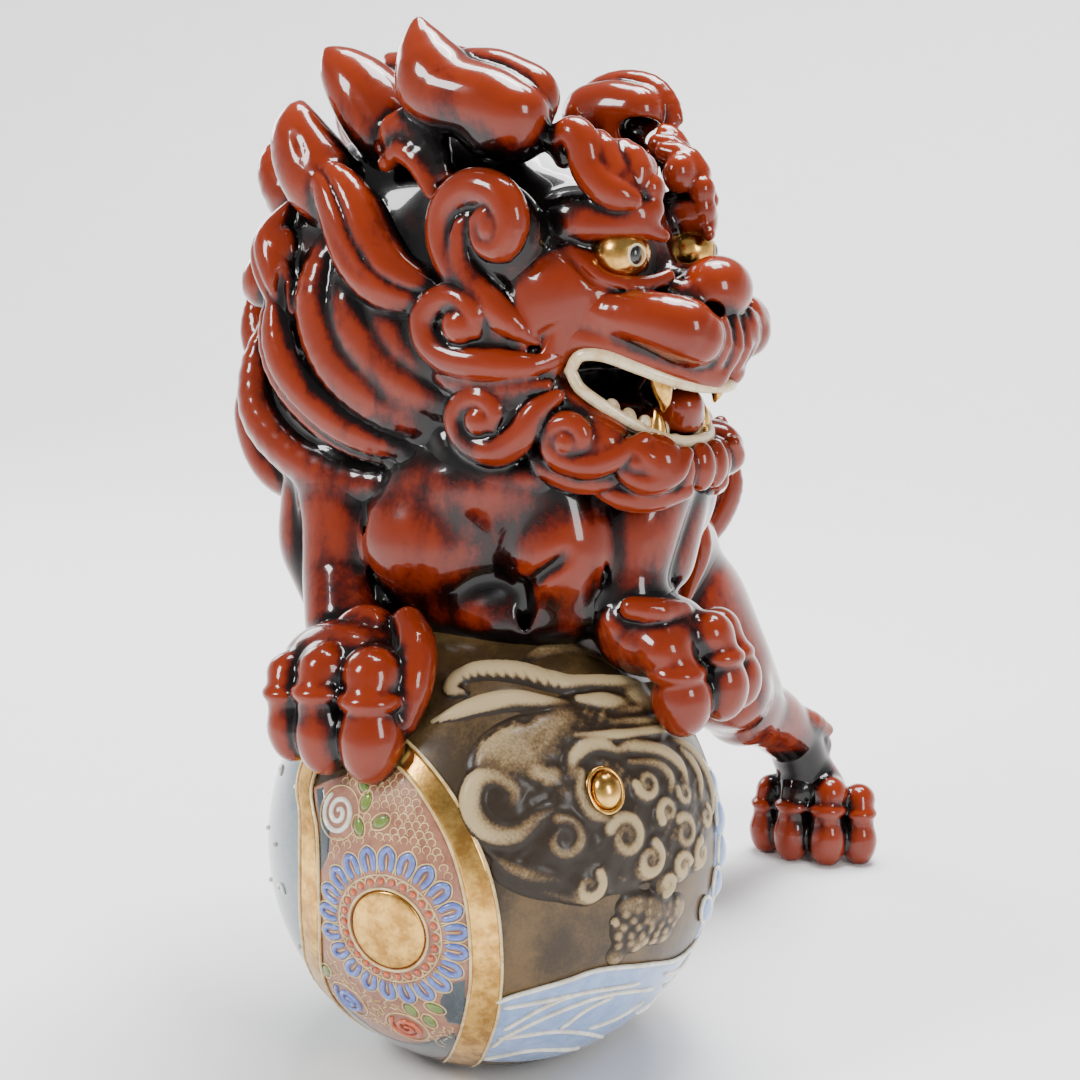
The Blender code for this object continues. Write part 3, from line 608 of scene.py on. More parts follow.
def model_face_curls(clay, place, side):
    """The temple curl on its double stem, the cheek curl under it, and the row of snail curls of the beard."""
    temple, cheek = "temple_curl_" + side, "cheek_curl_" + side
    clay.oval(temple, (15, -34, 20), (17, 9.5, 16), 3, place=place)
    clay.rope(temple, [(20, -38, -2), (9.5, -39.5, 7), (3, -40, 18), (4.5, -41, 28), (13, -42, 33.5),
            (23, -42.5, 31.5), (27.5, -43, 24), (24.5, -43.5, 17), (18, -43.5, 18), (17, -44, 24), (20.5, -44.5, 26)],
            (4, 6.2, 6.4, 6, 5.8, 5.6, 5.2, 4.4, 3.5, 3.2, 3.4), 0.7, place=place, steps=44)
    clay.oval(temple, (22, -44, 22.5), (5.4, 4.2, 5.6), 0.6, place=place)
    clay.rope(temple, [(31, -36, -10), (25, -39, -5), (16, -40.5, 3), (10, -41.5, 12), (10.5, -42.3, 22),
            (15, -43, 27.5)], (1.2, 4, 5.4, 5.0, 4.0, 1.4), 0.7, place=place)
    clay.oval(cheek, (9, -36, -8), (15, 9, 13), 3, place=place)
    clay.rope(cheek, [(36, -33, -15), (28, -38, -17), (17, -41.5, -16.5), (6, -42.5, -15), (-1, -42.5, -11),
            (-3, -42.8, -4.5), (1, -43, 0.5), (8, -43.4, 2.5), (14.5, -44, -1), (15, -44, -6.5)],
            (1.2, 4.2, 5.6, 5.6, 5.6, 5.4, 5.0, 4.6, 4.2, 3), 0.9, place=place, steps=40)
    clay.oval(cheek, (10.5, -45, -5.5), (5.8, 4.4, 5.6), 0.6, place=place)
    clay.rope(cheek, [(34, -35, -22.5), (24, -37.5, -23), (12, -39, -22.5), (2, -39, -20), (-6, -38, -14)],
            (2, 5, 5.4, 5, 2.4), 1.2, place=place)
    rear, middle, front = ("beard_curl_%s_%s" % (key, side) for key in ("rear", "middle", "front"))
    clay.oval(rear, (16, -33, -33), (16, 10, 13), 3, place=place)
    clay.rope(rear, [(38, -35, -25), (32, -37.5, -30), (28, -39, -36.5), (20, -40, -41.5), (11, -40, -39.5),
            (7, -40.3, -33.5), (10, -40.8, -28), (16, -41.2, -26.5), (20.5, -41.5, -29.5), (20, -42, -34)],
            (2, 4.4, 5.0, 5.2, 5.2, 5.0, 4.6, 4.2, 3.6, 2.8), 0.7, place=place, steps=40)
    clay.oval(rear, (15.5, -42.5, -33), (4.8, 4, 4.8), 0.6, place=place)
    clay.oval(middle, (43, -27, -40), (13, 9, 10), 3, place=place)
    clay.rope(middle, [(60, -24, -37), (54, -29, -42), (47, -32.5, -44.5), (39, -34.5, -43), (36, -35, -38.5),
            (38, -35.3, -34), (43, -35, -33), (46, -34.6, -36.5), (44, -35, -40)],
            (2, 3.8, 4.4, 4.4, 4.4, 4.2, 3.6, 3.2, 2.6), 0.7, place=place, steps=36)
    clay.oval(middle, (41.5, -36.2, -38), (4, 3.4, 4), 0.6, place=place)
    clay.rope(middle, [(28, -34, -42), (34, -33, -47), (44, -30, -50), (52, -27, -49)], (2.5, 4.2, 4.2, 2.5), 1.0,
            place=place)
    clay.oval(front, (60, -19, -45), (10, 8, 9), 3, place=place)
    clay.rope(front, [(69, -15, -42), (67, -19, -47), (61, -23.5, -49.5), (55.5, -26, -46.5), (55, -26, -42),
            (59, -25.5, -40.5), (62.5, -24.5, -43.5), (60.5, -25, -46.5)], (2.4, 3.8, 4.0, 3.8, 3.6, 3.2, 2.8, 2.4),
            0.7, place=place, steps=32)
    clay.oval(front, (58.8, -26.4, -44), (3.2, 2.8, 3.2), 0.5, place=place)
    clay.rope(front, [(46, -27, -52), (53, -24, -54.5), (60, -19, -55), (66, -11, -53)], (2.5, 4.2, 4.4, 3.4), 1.0,
            place=place)
    clay.rope(rear, [(-4, -34, -36), (4, -36, -45), (16, -35.5, -49), (30, -33, -50)], (5, 6.4, 6.4, 4), 1.4,
            place=place)
    clay.oval("chin_curl", (65, -11.5, -47), (5, 5, 7), 0.8, place=place)
    clay.oval("chin_curl", (68, -4, -47), (4.6, 5, 7.4), 0.8, place=place)


def model_mane(clay):
    """The mane's mass, flame locks that sweep up and back, and broad ridged locks that fall and turn in."""
    clay.oval("mane", (-34, 24, 234), (54, 45, 55), 6)
    clay.oval("mane", (-16, 26, 254), (45, 41, 41), 6)
    clay.oval("mane", (-50, 12, 202), (34, 28, 32), 8)
    clay.oval("mane", (-26, 44, 208), (44, 44, 40), 8)
    clay.oval("mane", (-20, 0, 206), (30, 20, 24), 8)
    core = (-30, 24, 236)
    plain = {"crown": [([(-28, 2, 280), (-36, 1, 290), (-44, 1, 299), (-50, 1, 305), (-54, 0, 309.5)],
            (12, 13, 11, 7.5, 2.6)), ([(-20, 14, 286), (-28, 16, 296), (-36, 18, 303), (-42, 18, 308)],
            (11, 12, 9, 3.5)), ([(-10, 26, 288), (-16, 30, 298), (-26, 30, 306), (-36, 30, 313)], (12, 13, 9, 1.5))],
            "top_rear": [([(-34, 40, 282), (-44, 42, 292), (-54, 44, 300), (-62, 46, 308)], (12, 13, 9, 1.5))],
            "top_side": [([(-46, -8, 264), (-53, -9, 272), (-60, -7, 281), (-63, -5, 288), (-63, -3, 293)],
            (11, 12, 10.5, 7.5, 3.2))], "side_high": [([(-30, -10, 281), (-26, -12, 286), (-19, -13, 287),
            (-12, -15, 281), (-7, -18, 272)], (4, 5, 5.5, 5, 2.5)),
            ([(-28, -14, 276), (-22, -15, 280), (-15, -17, 276), (-10, -20, 267)], (3, 4.4, 4.4, 2.4))],
            "rear_high": [([(-52, 58, 276), (-64, 60, 284), (-76, 62, 290), (-86, 64, 300)], (12, 13, 9, 1.5))],
            "rear_middle": [([(-66, 56, 240), (-80, 60, 246), (-90, 62, 254), (-96, 62, 268)], (13, 13, 9, 1.5)),
            ([(-74, 24, 262), (-83, 26, 268), (-89, 28, 276), (-92, 32, 286)], (10, 11, 8, 1.5))],
            "rear_low": [([(-60, 66, 206), (-74, 70, 208), (-86, 70, 216), (-95, 66, 228)], (13, 14, 9, 1.5)),
            ([(-78, 22, 208), (-88, 24, 212), (-95, 24, 222), (-98, 24, 236)], (9, 10, 8, 1.5)),
            ([(-70, 24, 182), (-84, 26, 184), (-92, 28, 192), (-96, 30, 204)], (12, 12, 9, 2))],
            "back": [([(-22, 62, 270), (-30, 76, 256), (-38, 84, 236), (-38, 88, 212)], (9, 13, 12, 1.5)),
            ([(-50, 64, 256), (-56, 74, 240), (-58, 80, 222), (-52, 84, 202)], (8, 12, 11, 1.5)),
            ([(10, 54, 262), (10, 70, 246), (4, 80, 226), (2, 84, 206)], (8, 12, 11, 1.5))],
            "back_low": [([(-12, 66, 232), (-16, 82, 214), (-18, 90, 196), (-14, 92, 178)], (9, 13, 11, 1.5)),
            ([(20, 52, 226), (22, 66, 212), (20, 74, 196), (14, 78, 182)], (9, 12, 10, 1.5)),
            ([(-46, 62, 204), (-48, 74, 190), (-44, 80, 176), (-36, 82, 166)], (9, 13, 10, 1.5))],}
    for key, strokes in plain.items():
        ridges = 2 if "back" in key or "rear" in key else 0
        for points, radii in strokes:
            clay.rope("mane_lock_" + key, points, radii, 2.2, flat=0.85, out=core, ridges=ridges, groove=1.2)
    broad = {"side_high": [([(-53, -12, 274), (-45, -16, 270), (-38, -18, 261), (-32, -19.5, 250), (-24, -21, 242),
            (-12, -20, 238), (-2, -18, 240)], (2, 7.5, 10.5, 11.5, 10.5, 7, 2), 0.75, 2, 1.5)],
            "side_middle": [([(-46, -12, 256), (-50, -17, 242), (-49, -19, 229), (-41, -20, 214), (-25, -18, 203),
            (-2, -12, 196)], (3, 6.5, 8, 8.5, 8.5, 5), 0.8, 1, 0.0),
            ([(-38, -13, 256), (-39, -18, 242), (-37, -20.5, 230), (-29, -20.5, 218), (-16, -19, 208), (4, -14, 202)],
            (3, 6, 7.5, 8, 7.5, 4), 0.8, 1, 0.0), ([(-29, -14, 248), (-28, -19, 238), (-24, -20.5, 228),
            (-16, -20, 219), (-3, -18, 212)], (2, 5, 6.2, 6, 3), 0.85, 1, 0.0),
            ([(-20, -17, 240), (-18, -19.5, 231), (-12, -20, 224), (-2, -19, 219)], (2, 4.4, 5, 3), 0.9, 1, 0.0),
            ([(-66, -4, 262), (-70, -10, 252), (-66, -14, 242), (-60, -16, 232)], (5, 8, 8, 5), 0.75, 2, 1.2)],
            "side_low": [([(-62, -10, 246), (-66, -13, 231), (-63, -15.5, 217), (-52, -17, 204), (-35, -17, 194),
            (-12, -13, 188)], (3, 8, 10, 10, 9, 4), 0.72, 2, 1.6)],
            "bib": [([(-76, -2, 230), (-80, -3, 214), (-77, -5, 198), (-64, -8, 186), (-46, -9.5, 179),
            (-26, -11, 178), (-6, -9, 181)], (3, 9, 12, 12, 11, 9, 4), 0.66, 2, 2.0),
            ([(-84, 8, 210), (-88, 8, 198), (-84, 8, 184), (-74, 6, 176), (-58, 4, 174)], (7, 9, 9.5, 9, 6), 0.8, 2,
            1.2)],}
    for key, strokes in broad.items():
        for points, radii, flat, ridges, groove in strokes:
            clay.rope("mane_lock_" + key, points, radii, 2.0, flat=flat, out=core, ridges=ridges, groove=groove,
                    steps=22)
    clay.curl("mane_lock_side_high", (-67, -13, 250), (-0.35, -0.92, 0.15), 8.5, 3.8, 1.2, 120, 1, 1.2)
    clay.curl("mane_curl_side", (-88, 12, 240), (-0.95, -0.25, 0.1), 10, 4, 1.4, 90, 1, 1.4)
    for points, radius in (([(-60, -20, 250), (-62, -20, 236), (-58, -22, 222)], (0.8, 2.0, 0.8)),
            ([(-48, -26, 266), (-41, -28.5, 256), (-33, -30.5, 246), (-20, -31, 239)], (0.5, 1.6, 1.6, 0.6)),
            ([(-50, -24, 272), (-54, -19.5, 279), (-58, -17, 286), (-64, -18, 294)], (0.3, 1.4, 1.4, 0.3)),
            ([(-40, -12, 296), (-34, -14, 286), (-28, -18, 276)], (0.8, 2.0, 1.0))):
        clay.groove(points, radius, 2)


# Places that are painted black or left red: centre, reach in mm, how much.
SPOTS = (
    ((4, -14, 281), 14, -0.5), ((14, -4, 279), 16, -0.5), ((24, -16, 270), 12, -0.5), ((-6, -14, 279), 14, -0.4),
    ((-24, -8, 270), 12, -0.4), ((28, -12, 262), 10, -0.3), ((0, -20, 192), 16, -0.25), ((14, -14, 136), 14, -0.35),
    ((50, 188, 40), 16, -0.6), ((-50, 188, 40), 14, -0.4), ((60, 130, 84), 16, -0.2), ((-44, -8, 134), 14, -0.25),
    ((-32, -12, 170), 8, -0.4), ((-60, -10, 150), 12, -0.2), ((24, -22, 232), 16, 0.35), ((36, -26, 240), 16, 0.35),
    ((10, -22, 214), 14, 0.25),
)
NEAR_SHARE, WIDE_SHARE, PROUD = 1.5, 1.1, 0.02  # what fine hollows, broad hollows and the glaze itself add


def fire(clay, finish, slot):
    """Parts the clay into its pieces: each keeps the shared surface where it is the nearest piece, and runs on a
    little under its neighbours. The paint's height on each vertex is how much air lies around it."""
    low = clay.low
    x, y, z = np.ix_(*(low[i] + clay.cell * np.arange(clay.shape[i]) - BALL_CENTRE[i] for i in range(3)))
    sphere = np.sqrt(x * x + y * y + z * z).astype(np.float32) - np.float32(BALL_RADIUS)
    full = np.clip(0.5 - np.minimum(clay.field, sphere) / clay.cell, 0, 1).astype(np.float32)
    near = smoothed(full, int(round(NEAR_AIR / clay.cell)))
    wide = smoothed(full[::2, ::2, ::2], int(round(WIDE_AIR / clay.cell / 2)))
    del full, sphere
    best = np.full(clay.shape, FAR, np.float32)
    second = np.full(clay.shape, FAR, np.float32)
    owner = np.zeros(clay.shape, np.uint8)
    blocks = {}
    for number, name in enumerate(clay.own):
        where, d = blocks[name] = clay.whole(name)
        b1, b2 = best[where], second[where]
        closer = d < b1
        second[where] = np.where(closer, b1, np.minimum(b2, d))
        best[where] = np.where(closer, d, b1)
        owner[where] = np.where(closer, number, owner[where])
    for number, name in enumerate(clay.own):
        where, d = blocks.pop(name)
        gap = np.where(owner[where] == number, d - second[where], d - best[where])
        block = np.maximum(clay.field[where] + SINK * np.maximum(gap, 0) ** 2, gap - OVERLAP)
        block = np.pad(block, 1, constant_values=2.0)
        points, faces = skin(block)
        points = relaxed(points, faces, block)
        keep = largest_bodies(len(points), faces, LEAST_BODY)
        faces = faces[keep[faces[:, 0]]]
        used = np.zeros(len(points), bool)
        used[faces] = True
        faces = (np.cumsum(used) - 1)[faces]
        points = points[used]
        grid = points - 1 + np.array([s.start for s in where])
        world = low + clay.cell * grid
        world[:, 2] = np.maximum(world[:, 2], 0.0)
        height = (0.5 - sample(near, grid)) * NEAR_SHARE + (0.5 - sample(wide, grid / 2)) * WIDE_SHARE + PROUD
        for centre, reach, much in SPOTS:
            height = height + much * np.exp(-(((world - np.array(centre)) ** 2).sum(1)) / (reach * reach * 0.7))
        new_piece("glazed_" + name, world, faces, finish, slot, [name], {"height": height})


# ---------------------------------------------------------------- the ball


class Chart:
    """A flat chart of the ball round one spot: (u, v) mm east and north of it, measured along the surface."""

    def __init__(self, azimuth, latitude):
        a, h = math.radians(azimuth), math.radians(latitude)
        self.up = np.array([math.cos(h) * math.cos(a), math.cos(h) * math.sin(a), math.sin(h)])
        self.east = np.array([-math.sin(a), math.cos(a), 0.0])
        self.north = np.cross(self.up, self.east)

    def direction(self, uv):
        """Unit vectors from the ball's centre to chart points: (u, v)/R is the angle gone from the spot."""
        uv = np.asarray(uv, float)
        far = np.linalg.norm(uv, axis=-1, keepdims=True)
        angle = far / BALL_RADIUS
        flat = (uv[..., :1] * self.east + uv[..., 1:2] * self.north) / np.maximum(far, TINY)
        return np.cos(angle) * self.up + np.sin(angle) * flat


MEDAL = Chart(-95, -5)
DRAGON = Chart(-42, 22)


def on_ball(directions, out):
    """Points that far out from the ball's surface."""
    return BALL_CENTRE + directions * (BALL_RADIUS + np.asarray(out)[..., None])


def by_angles(azimuth, latitude):
    """Unit vectors at those degrees round and up."""
    a, h = np.radians(azimuth), np.radians(latitude)
    return np.stack([np.cos(h) * np.cos(a), np.cos(h) * np.sin(a), np.sin(h)], -1)


def joined(parts):
    """Several (points, triangles) as one."""
    start = np.cumsum([0] + [len(p) for p, _ in parts[:-1]])
    return np.concatenate([p for p, _ in parts]), np.concatenate([f + s for (_, f), s in zip(parts, start)])


def split(quads):
    """Each quad as two triangles."""
    return np.concatenate([quads[:, [0, 1, 2]], quads[:, [0, 2, 3]]])


def grid_faces(rows, columns, wrap=False):
    """Quads of a grid of rows by columns points, numbered row by row."""
    i = np.arange(rows - 1)[:, None] * columns
    j = np.arange(columns if wrap else columns - 1)[None, :]
    k = (j + 1) % columns
    return np.stack([i + j, i + k, i + columns + k, i + columns + j], -1).reshape(-1, 4)


def shell(directions, height, deep=0.7):
    """A closed skin over the ball: the grid of directions lifted by height, the same grid sunk by deep, and a rim."""
    rows, columns = directions.shape[:2]
    top = on_ball(directions, height).reshape(-1, 3)
    under = on_ball(directions, np.full((rows, columns), -deep)).reshape(-1, 3)
    both = np.concatenate([top, under])
    quads = outward(top, grid_faces(rows, columns), BALL_CENTRE)
    edge = np.concatenate([np.arange(columns), np.arange(1, rows) * columns + columns - 1,
            (rows - 1) * columns + np.arange(columns - 2, -1, -1), np.arange(rows - 2, 0, -1) * columns])
    after = np.roll(edge, -1)
    n = rows * columns
    rim = outward(both, np.stack([edge, edge + n, after + n, after], 1), top.mean(0))
    return both, np.concatenate([split(quads), split(quads[:, ::-1] + n), split(rim)])


def ribbon(chart, left, right, height, long=90, wide=14, edge=0.12):
    """A skin between two curves of the chart, rounded down at its rim: height * (1 - s^n) across and along."""
    a, b = spline(left, long), spline(right, long)
    t = np.linspace(0, 1, wide)
    uv = a[:, None] * (1 - t)[None, :, None] + b[:, None] * t[None, :, None]
    across = np.clip(np.minimum(t, 1 - t) / edge, 0, 1)
    s = np.linspace(0, 1, long)
    along = np.clip(np.minimum(s, 1 - s) / (edge * 0.3), 0, 1)
    lift = height * np.sqrt(1 - (1 - np.minimum(across[None, :], along[:, None])) ** 2 * 0.98)
    return shell(chart.direction(uv), lift)


def tube(points, away, radius, sides=6, closed=False, flat=1.0):
    """A cord along points: circles of the given radius in the plane across the path, with pointed closed ends."""
    n = len(points)
    radius = np.broadcast_to(np.asarray(radius, float), n)
    ahead = np.roll(points, -1, 0) - np.roll(points, 1, 0) if closed else np.gradient(points, axis=0)
    ahead = ahead / np.maximum(np.linalg.norm(ahead, axis=1, keepdims=True), TINY)
    side = np.cross(ahead, away)
    side = side / np.maximum(np.linalg.norm(side, axis=1, keepdims=True), TINY)
    lift = np.cross(side, ahead)
    a = round_angles(sides)
    ring = points[:, None] + radius[:, None, None] * (
        np.cos(a)[None, :, None] * side[:, None] + flat * np.sin(a)[None, :, None] * lift[:, None])
    rows = n + (1 if closed else 0)
    quads = grid_faces(rows, sides, True) % (n * sides)
    points_out = ring.reshape(-1, 3)
    faces = split(quads[:, ::-1])
    if not closed:
        tips = np.stack([points[0] - ahead[0] * radius[0] * 0.7, points[-1] + ahead[-1] * radius[-1] * 0.7])
        k = np.arange(sides)
        first = np.stack([np.full(sides, n * sides), (k + 1) % sides, k], 1)
        last = np.stack([np.full(sides, n * sides + 1), (n - 1) * sides + k, (n - 1) * sides + (k + 1) % sides], 1)
        faces = np.concatenate([faces, first[:, ::-1], last[:, ::-1]])
        points_out = np.concatenate([points_out, tips])
    return points_out, outward(points_out, faces, points[0])


def enamel_line(chart, uv, radius, out=0.35, count=None, closed=False, sides=6):
    """A raised line of enamel trailed over the ball."""
    uv = np.asarray(uv, float)
    if closed:
        uv = np.vstack([uv, uv[:1]])
    length = np.linalg.norm(np.diff(uv, axis=0), axis=1).sum()
    count = count or int(np.clip(length / 1.2, 4, 90))
    line = spline(uv, count + (1 if closed else 0))
    if closed:
        line = line[:-1]
    d = chart.direction(line)
    r = radius if closed else radius * np.clip(np.minimum(np.arange(count), np.arange(count)[::-1]) / 1.2 + 0.55, 0,
            1)
    return tube(on_ball(d, np.full(count, out)), d, r, sides, closed)


def turned(centre, x, y, degrees=0.0):
    """Chart points at (x, y) from a centre, turned anticlockwise about it."""
    c, s = math.cos(math.radians(degrees)), math.sin(math.radians(degrees))
    return np.stack([centre[0] + c * x - s * y, centre[1] + s * x + c * y], -1)


def arc(centre, angles, a, b=None, degrees=0.0):
    """Chart points on an ellipse of half-axes a and b, or on a circle or spiral of radius a, at those radians."""
    return turned(centre, a * np.cos(angles), (a if b is None else b) * np.sin(angles), degrees)


def dome(chart, u, v, radii, height, turn=0.0, rings=4, sides=12, out=0.0):
    """A low oval button: rings of directions whose height falls as the root of 1 - t2."""
    t = np.linspace(0, 1, rings + 1)[1:]
    a = round_angles(sides)
    uv = turned((u, v), np.outer(t, np.cos(a)) * radii[0], np.outer(t, np.sin(a)) * radii[1], turn)
    lift = out + height * np.sqrt(np.maximum(1 - t**2, 0)) - np.where(t == 1, 0.3, 0)
    lift = np.repeat(lift[:, None], sides, 1)
    middle = chart.direction(np.array([[u, v]]))
    points = np.concatenate([on_ball(middle, np.array([out + height])),
            on_ball(chart.direction(uv), lift).reshape(-1, 3), on_ball(middle, np.array([-0.6]))])
    k, after = np.arange(sides), (np.arange(sides) + 1) % sides
    end, last = len(points) - 1, 1 + (rings - 1) * sides
    ends = np.concatenate([np.stack([np.zeros(sides, int), 1 + k, 1 + after], 1),
            np.stack([np.full(sides, end), last + after, last + k], 1)])
    body = split(grid_faces(rings, sides, True) + 1)[:, ::-1]
    return points, np.concatenate([outward(points, ends, BALL_CENTRE), outward(points, body, BALL_CENTRE)])


BAND_LEFT = ((-9, 55), (-3.9, 50), (5.5, 45.3), (15.1, 36.7), (22.6, 26), (27.1, 12.8), (28.3, -1.4), (26.8, -16.5),
        (21.1, -34), (12, -52), (1.2, -68.6))
BAND_RIGHT = ((-6, 62), (-2.8, 58), (8, 52), (18.2, 44), (26.2, 34.5), (33.0, 22), (36.4, 9), (37.0, -5), (35.6, -18),
        (31.6, -33), (21.3, -55.4), (10, -73))
FAR_RIGHT = ((-30, 50), (-31, 36), (-24.3, 25.4), (-21.6, 15.1), (-20.9, 0.8), (-23.1, -11.4), (-27, -25),
        (-30.8, -45), (-26, -66))
FAR_LEFT = ((-42, 48), (-40.5, 35.3), (-33.8, 26), (-30.8, 12.5), (-31.2, -0.7), (-33.4, -14), (-37.0, -25),
        (-39, -46), (-32, -68))
DISC = (3.7, 0.3)
WAVE_TOP = ((-31, -54), (-24.3, -51.5), (-9.8, -48.6), (2.5, -46.8), (22.2, -50.1), (42, -54), (66, -52), (86, -44))
SWELL_SIDE = ((88, -46), (82, -38), (77, -30), (75, -20), (73, -10), (69, 0), (63, 8), (56, 13))
FOAM = (WAVE_TOP, SWELL_SIDE,
        ((-28.7, -56.5), (-16.5, -55.2), (-6.7, -54.3)),
        ((-27.6, -67), (-16.1, -58.1), (-3.2, -54.4), (20, -56.7)),
        ((-30.1, -77.3), (-24.5, -69.1), (-10.1, -60.6), (7.5, -57.7), (30.1, -62.7)),
        ((-28.6, -71.7), (-10.1, -70.5), (4.9, -76.2), (18.4, -85.7)),
        ((-7.4, -69.4), (-0.1, -62.2), (9.2, -59)),
        ((5, -73.2), (17.8, -71.8), (28.2, -68.4)),
        ((-31.3, -87.9), (-14.4, -81.6), (9, -89.6)),
        ((34, -58), (48, -62), (62, -60)),
        ((78, -44), (72, -34), (70, -24), (69, -12), (65, -2)),
        ((70, -46), (65, -36), (64, -26), (65, -16)),
        ((40, -66), (52, -70), (68, -66), (80, -56)),
        ((30, -76), (48, -80), (70, -74)),
        )
BLOSSOMS = (  # name, centre, size, paint and slot of each spiral flower
    ("white", (-16, 31.4), 6.4, "white", "ivory_enamel"),
    ("blue", (-17.6, -31.5), 5.6, "petal_blue", "blue_enamel"),
    ("orange", (2.6, -37), 5.6, "orange", "ball_enamels"),
)
LEAVES = (  # centre and turn
    (-6.6, 36.2, 80), (-0.2, 31.5, 30), (-7.6, 28.9, -60), (6.8, -27.4, 110), (15, -25.2, 150), (11.7, -31.6, 100),
    (-24, -22, 60), (-9, 41, 120),
)
CRESTS = (  # centre, half-axes and turn of each wave crest
    (60, 4, 6, 3.6, 60), (64, -8, 7, 4, 75), (65, -20, 7, 4.2, 95), (62, -31, 6.5, 4, 110), (54, -39, 7, 4, 140),
)


def side_at(curve, v):
    """How far east a curve of the chart lies at the height v."""
    c = np.array(curve)
    order = np.argsort(c[:, 1])
    return np.interp(v, c[order, 1], c[order, 0])


def make_ball_body(finish):
    """The ball: r = R from the vent's rim round to the top pole, flattened to a foot, with a hollow inside."""
    sides = 160
    a = round_angles(sides)

    def ring(radius, z):
        return np.stack([radius * np.cos(a), radius * np.sin(a), np.full(sides, z)], 1)

    def sphere(radius, polar):
        return [ring(radius * math.sin(p), BALL_CENTRE[2] + radius * math.cos(p)) for p in polar]

    foot = math.acos(np.clip(BALL_CENTRE[2] / BALL_RADIUS, -1, 1))
    rows = [ring(VENT_RADIUS, FOOT_THICK), ring(VENT_RADIUS, 0.6), ring(VENT_RADIUS + 0.6, 0.0)]
    rows += [ring(r, 0.0) for r in np.linspace(12, BALL_RADIUS * math.sin(foot) - 0.5, 4)]
    rows += sphere(BALL_RADIUS, np.linspace(math.pi - foot, 0.004, 96)[1:])
    outer = len(rows)
    inner = BALL_RADIUS - WALL
    rows += sphere(inner, np.linspace(0.004, math.pi - math.acos((BALL_CENTRE[2] - FOOT_THICK) / inner), 24))
    quads = grid_faces(len(rows), sides, True)
    quads = quads[quads[:, 0] // sides != outer - 1]
    k = np.arange(sides)
    last = np.stack([(len(rows) - 1) * sides + k, (len(rows) - 1) * sides + (k + 1) % sides, (k + 1) % sides, k], 1)
    faces = [split(np.concatenate([quads, last]))]
    k = np.arange(1, sides - 1)
    for row, way in ((outer - 1, 1), (outer, -1)):
        fan = np.stack([np.full(sides - 2, row * sides), row * sides + k, row * sides + k + 1], 1)
        faces.append(fan[:, ::way])
    new_piece("glazed_ball", np.concatenate(rows), np.concatenate(faces), finish, "ball_enamels", ["ball"])


def trailed(name, parts, finish, slot, replaces=()):
    """One piece of several closed parts."""
    new_piece(name, *joined(parts), finish, slot, replaces)


def make_panels(paints):
    """Brocade panel, navy corners, grey-blue field, gilt bands and light-blue waves, as thin skins of enamel."""
    trailed("brocade_panel", [ribbon(MEDAL, FAR_RIGHT[1:], BAND_LEFT[1:], 0.35, 110, 60, 0.03)], paints["brocade"],
            "ball_enamels")
    trailed("gilt_band_main", [ribbon(MEDAL, BAND_LEFT, BAND_RIGHT, 0.8, 120, 16)], paints["gilt"], "gilt")
    trailed("gilt_band_far", [ribbon(MEDAL, FAR_LEFT, FAR_RIGHT, 0.8, 110, 12)], paints["gilt"], "gilt")
    lat = np.linspace(-62, 40, 60)
    edge = MEDAL.direction(spline(FAR_LEFT, 90))
    edge_lat = np.degrees(np.arcsin(edge[:, 2]))
    edge_az = np.degrees(np.unwrap(np.arctan2(edge[:, 1], edge[:, 0])))
    order = np.argsort(edge_lat)
    first = np.interp(lat, edge_lat[order], edge_az[order]) + 1.0
    first = np.where(first > 0, first - 360, first)
    t = np.linspace(0, 1, 150)
    az = first[:, None] * (1 - t) - 300.0 * t
    d = by_angles(az, np.repeat(lat[:, None], len(t), 1))
    lift = np.pad(np.full((len(lat) - 2, len(t) - 2), 0.3), 1)
    trailed("grey_blue_field", [shell(d, lift)], paints["grey_blue"], "ball_enamels")
    rear = Chart(60, -5)
    trailed("gilt_band_rear", [ribbon(rear, ((-4, 52), (-5, 20), (-5, -10), (-4, -40), (-3, -60)),
            ((5, 52), (5, 20), (5, -10), (4, -40), (3, -60)), 0.8, 90, 12)], paints["gilt"], "gilt")
    navy = [ribbon(MEDAL, ((-29.5, 36), (-23.4, 24.5), (-20.8, 12)), ((-25.4, 37.5), (-18.6, 27), (-17.4, 19)), 0.5,
            30, 8), ribbon(MEDAL, ((26.4, -13), (25, -24), (21.5, -33)), ((22, -14.5), (16.4, -22), (17, -32)), 0.5,
            30, 8), ribbon(MEDAL, ((-26, -33), (-14, -47), (0, -47), (12, -40), (19, -36)),
            ((-30, -50), (-20, -62), (-4, -66), (8, -58), (18, -41)), 0.5, 50, 12)]
    trailed("navy_corners", navy, paints["navy"], "ball_enamels")
    wave = ribbon(DRAGON, WAVE_TOP, ((-34, -92), (-24, -94), (-10, -96), (4, -98), (20, -100), (40, -100), (62, -94),
            (84, -80)), 0.45, 120, 30, 0.05)
    swell = ribbon(DRAGON, ((56, -52), (57, -44), (57, -35), (59, -26), (60, -16), (60, -6), (58, 3), (55, 11)),
            SWELL_SIDE, 0.5, 80, 24, 0.05)
    trailed("wave_field", [wave, swell], paints["light_blue"], "ball_enamels")
    trailed("white_foam_lines", [enamel_line(DRAGON, line, 0.75, 0.55, sides=8) for line in FOAM], paints["white"],
            "ivory_enamel")


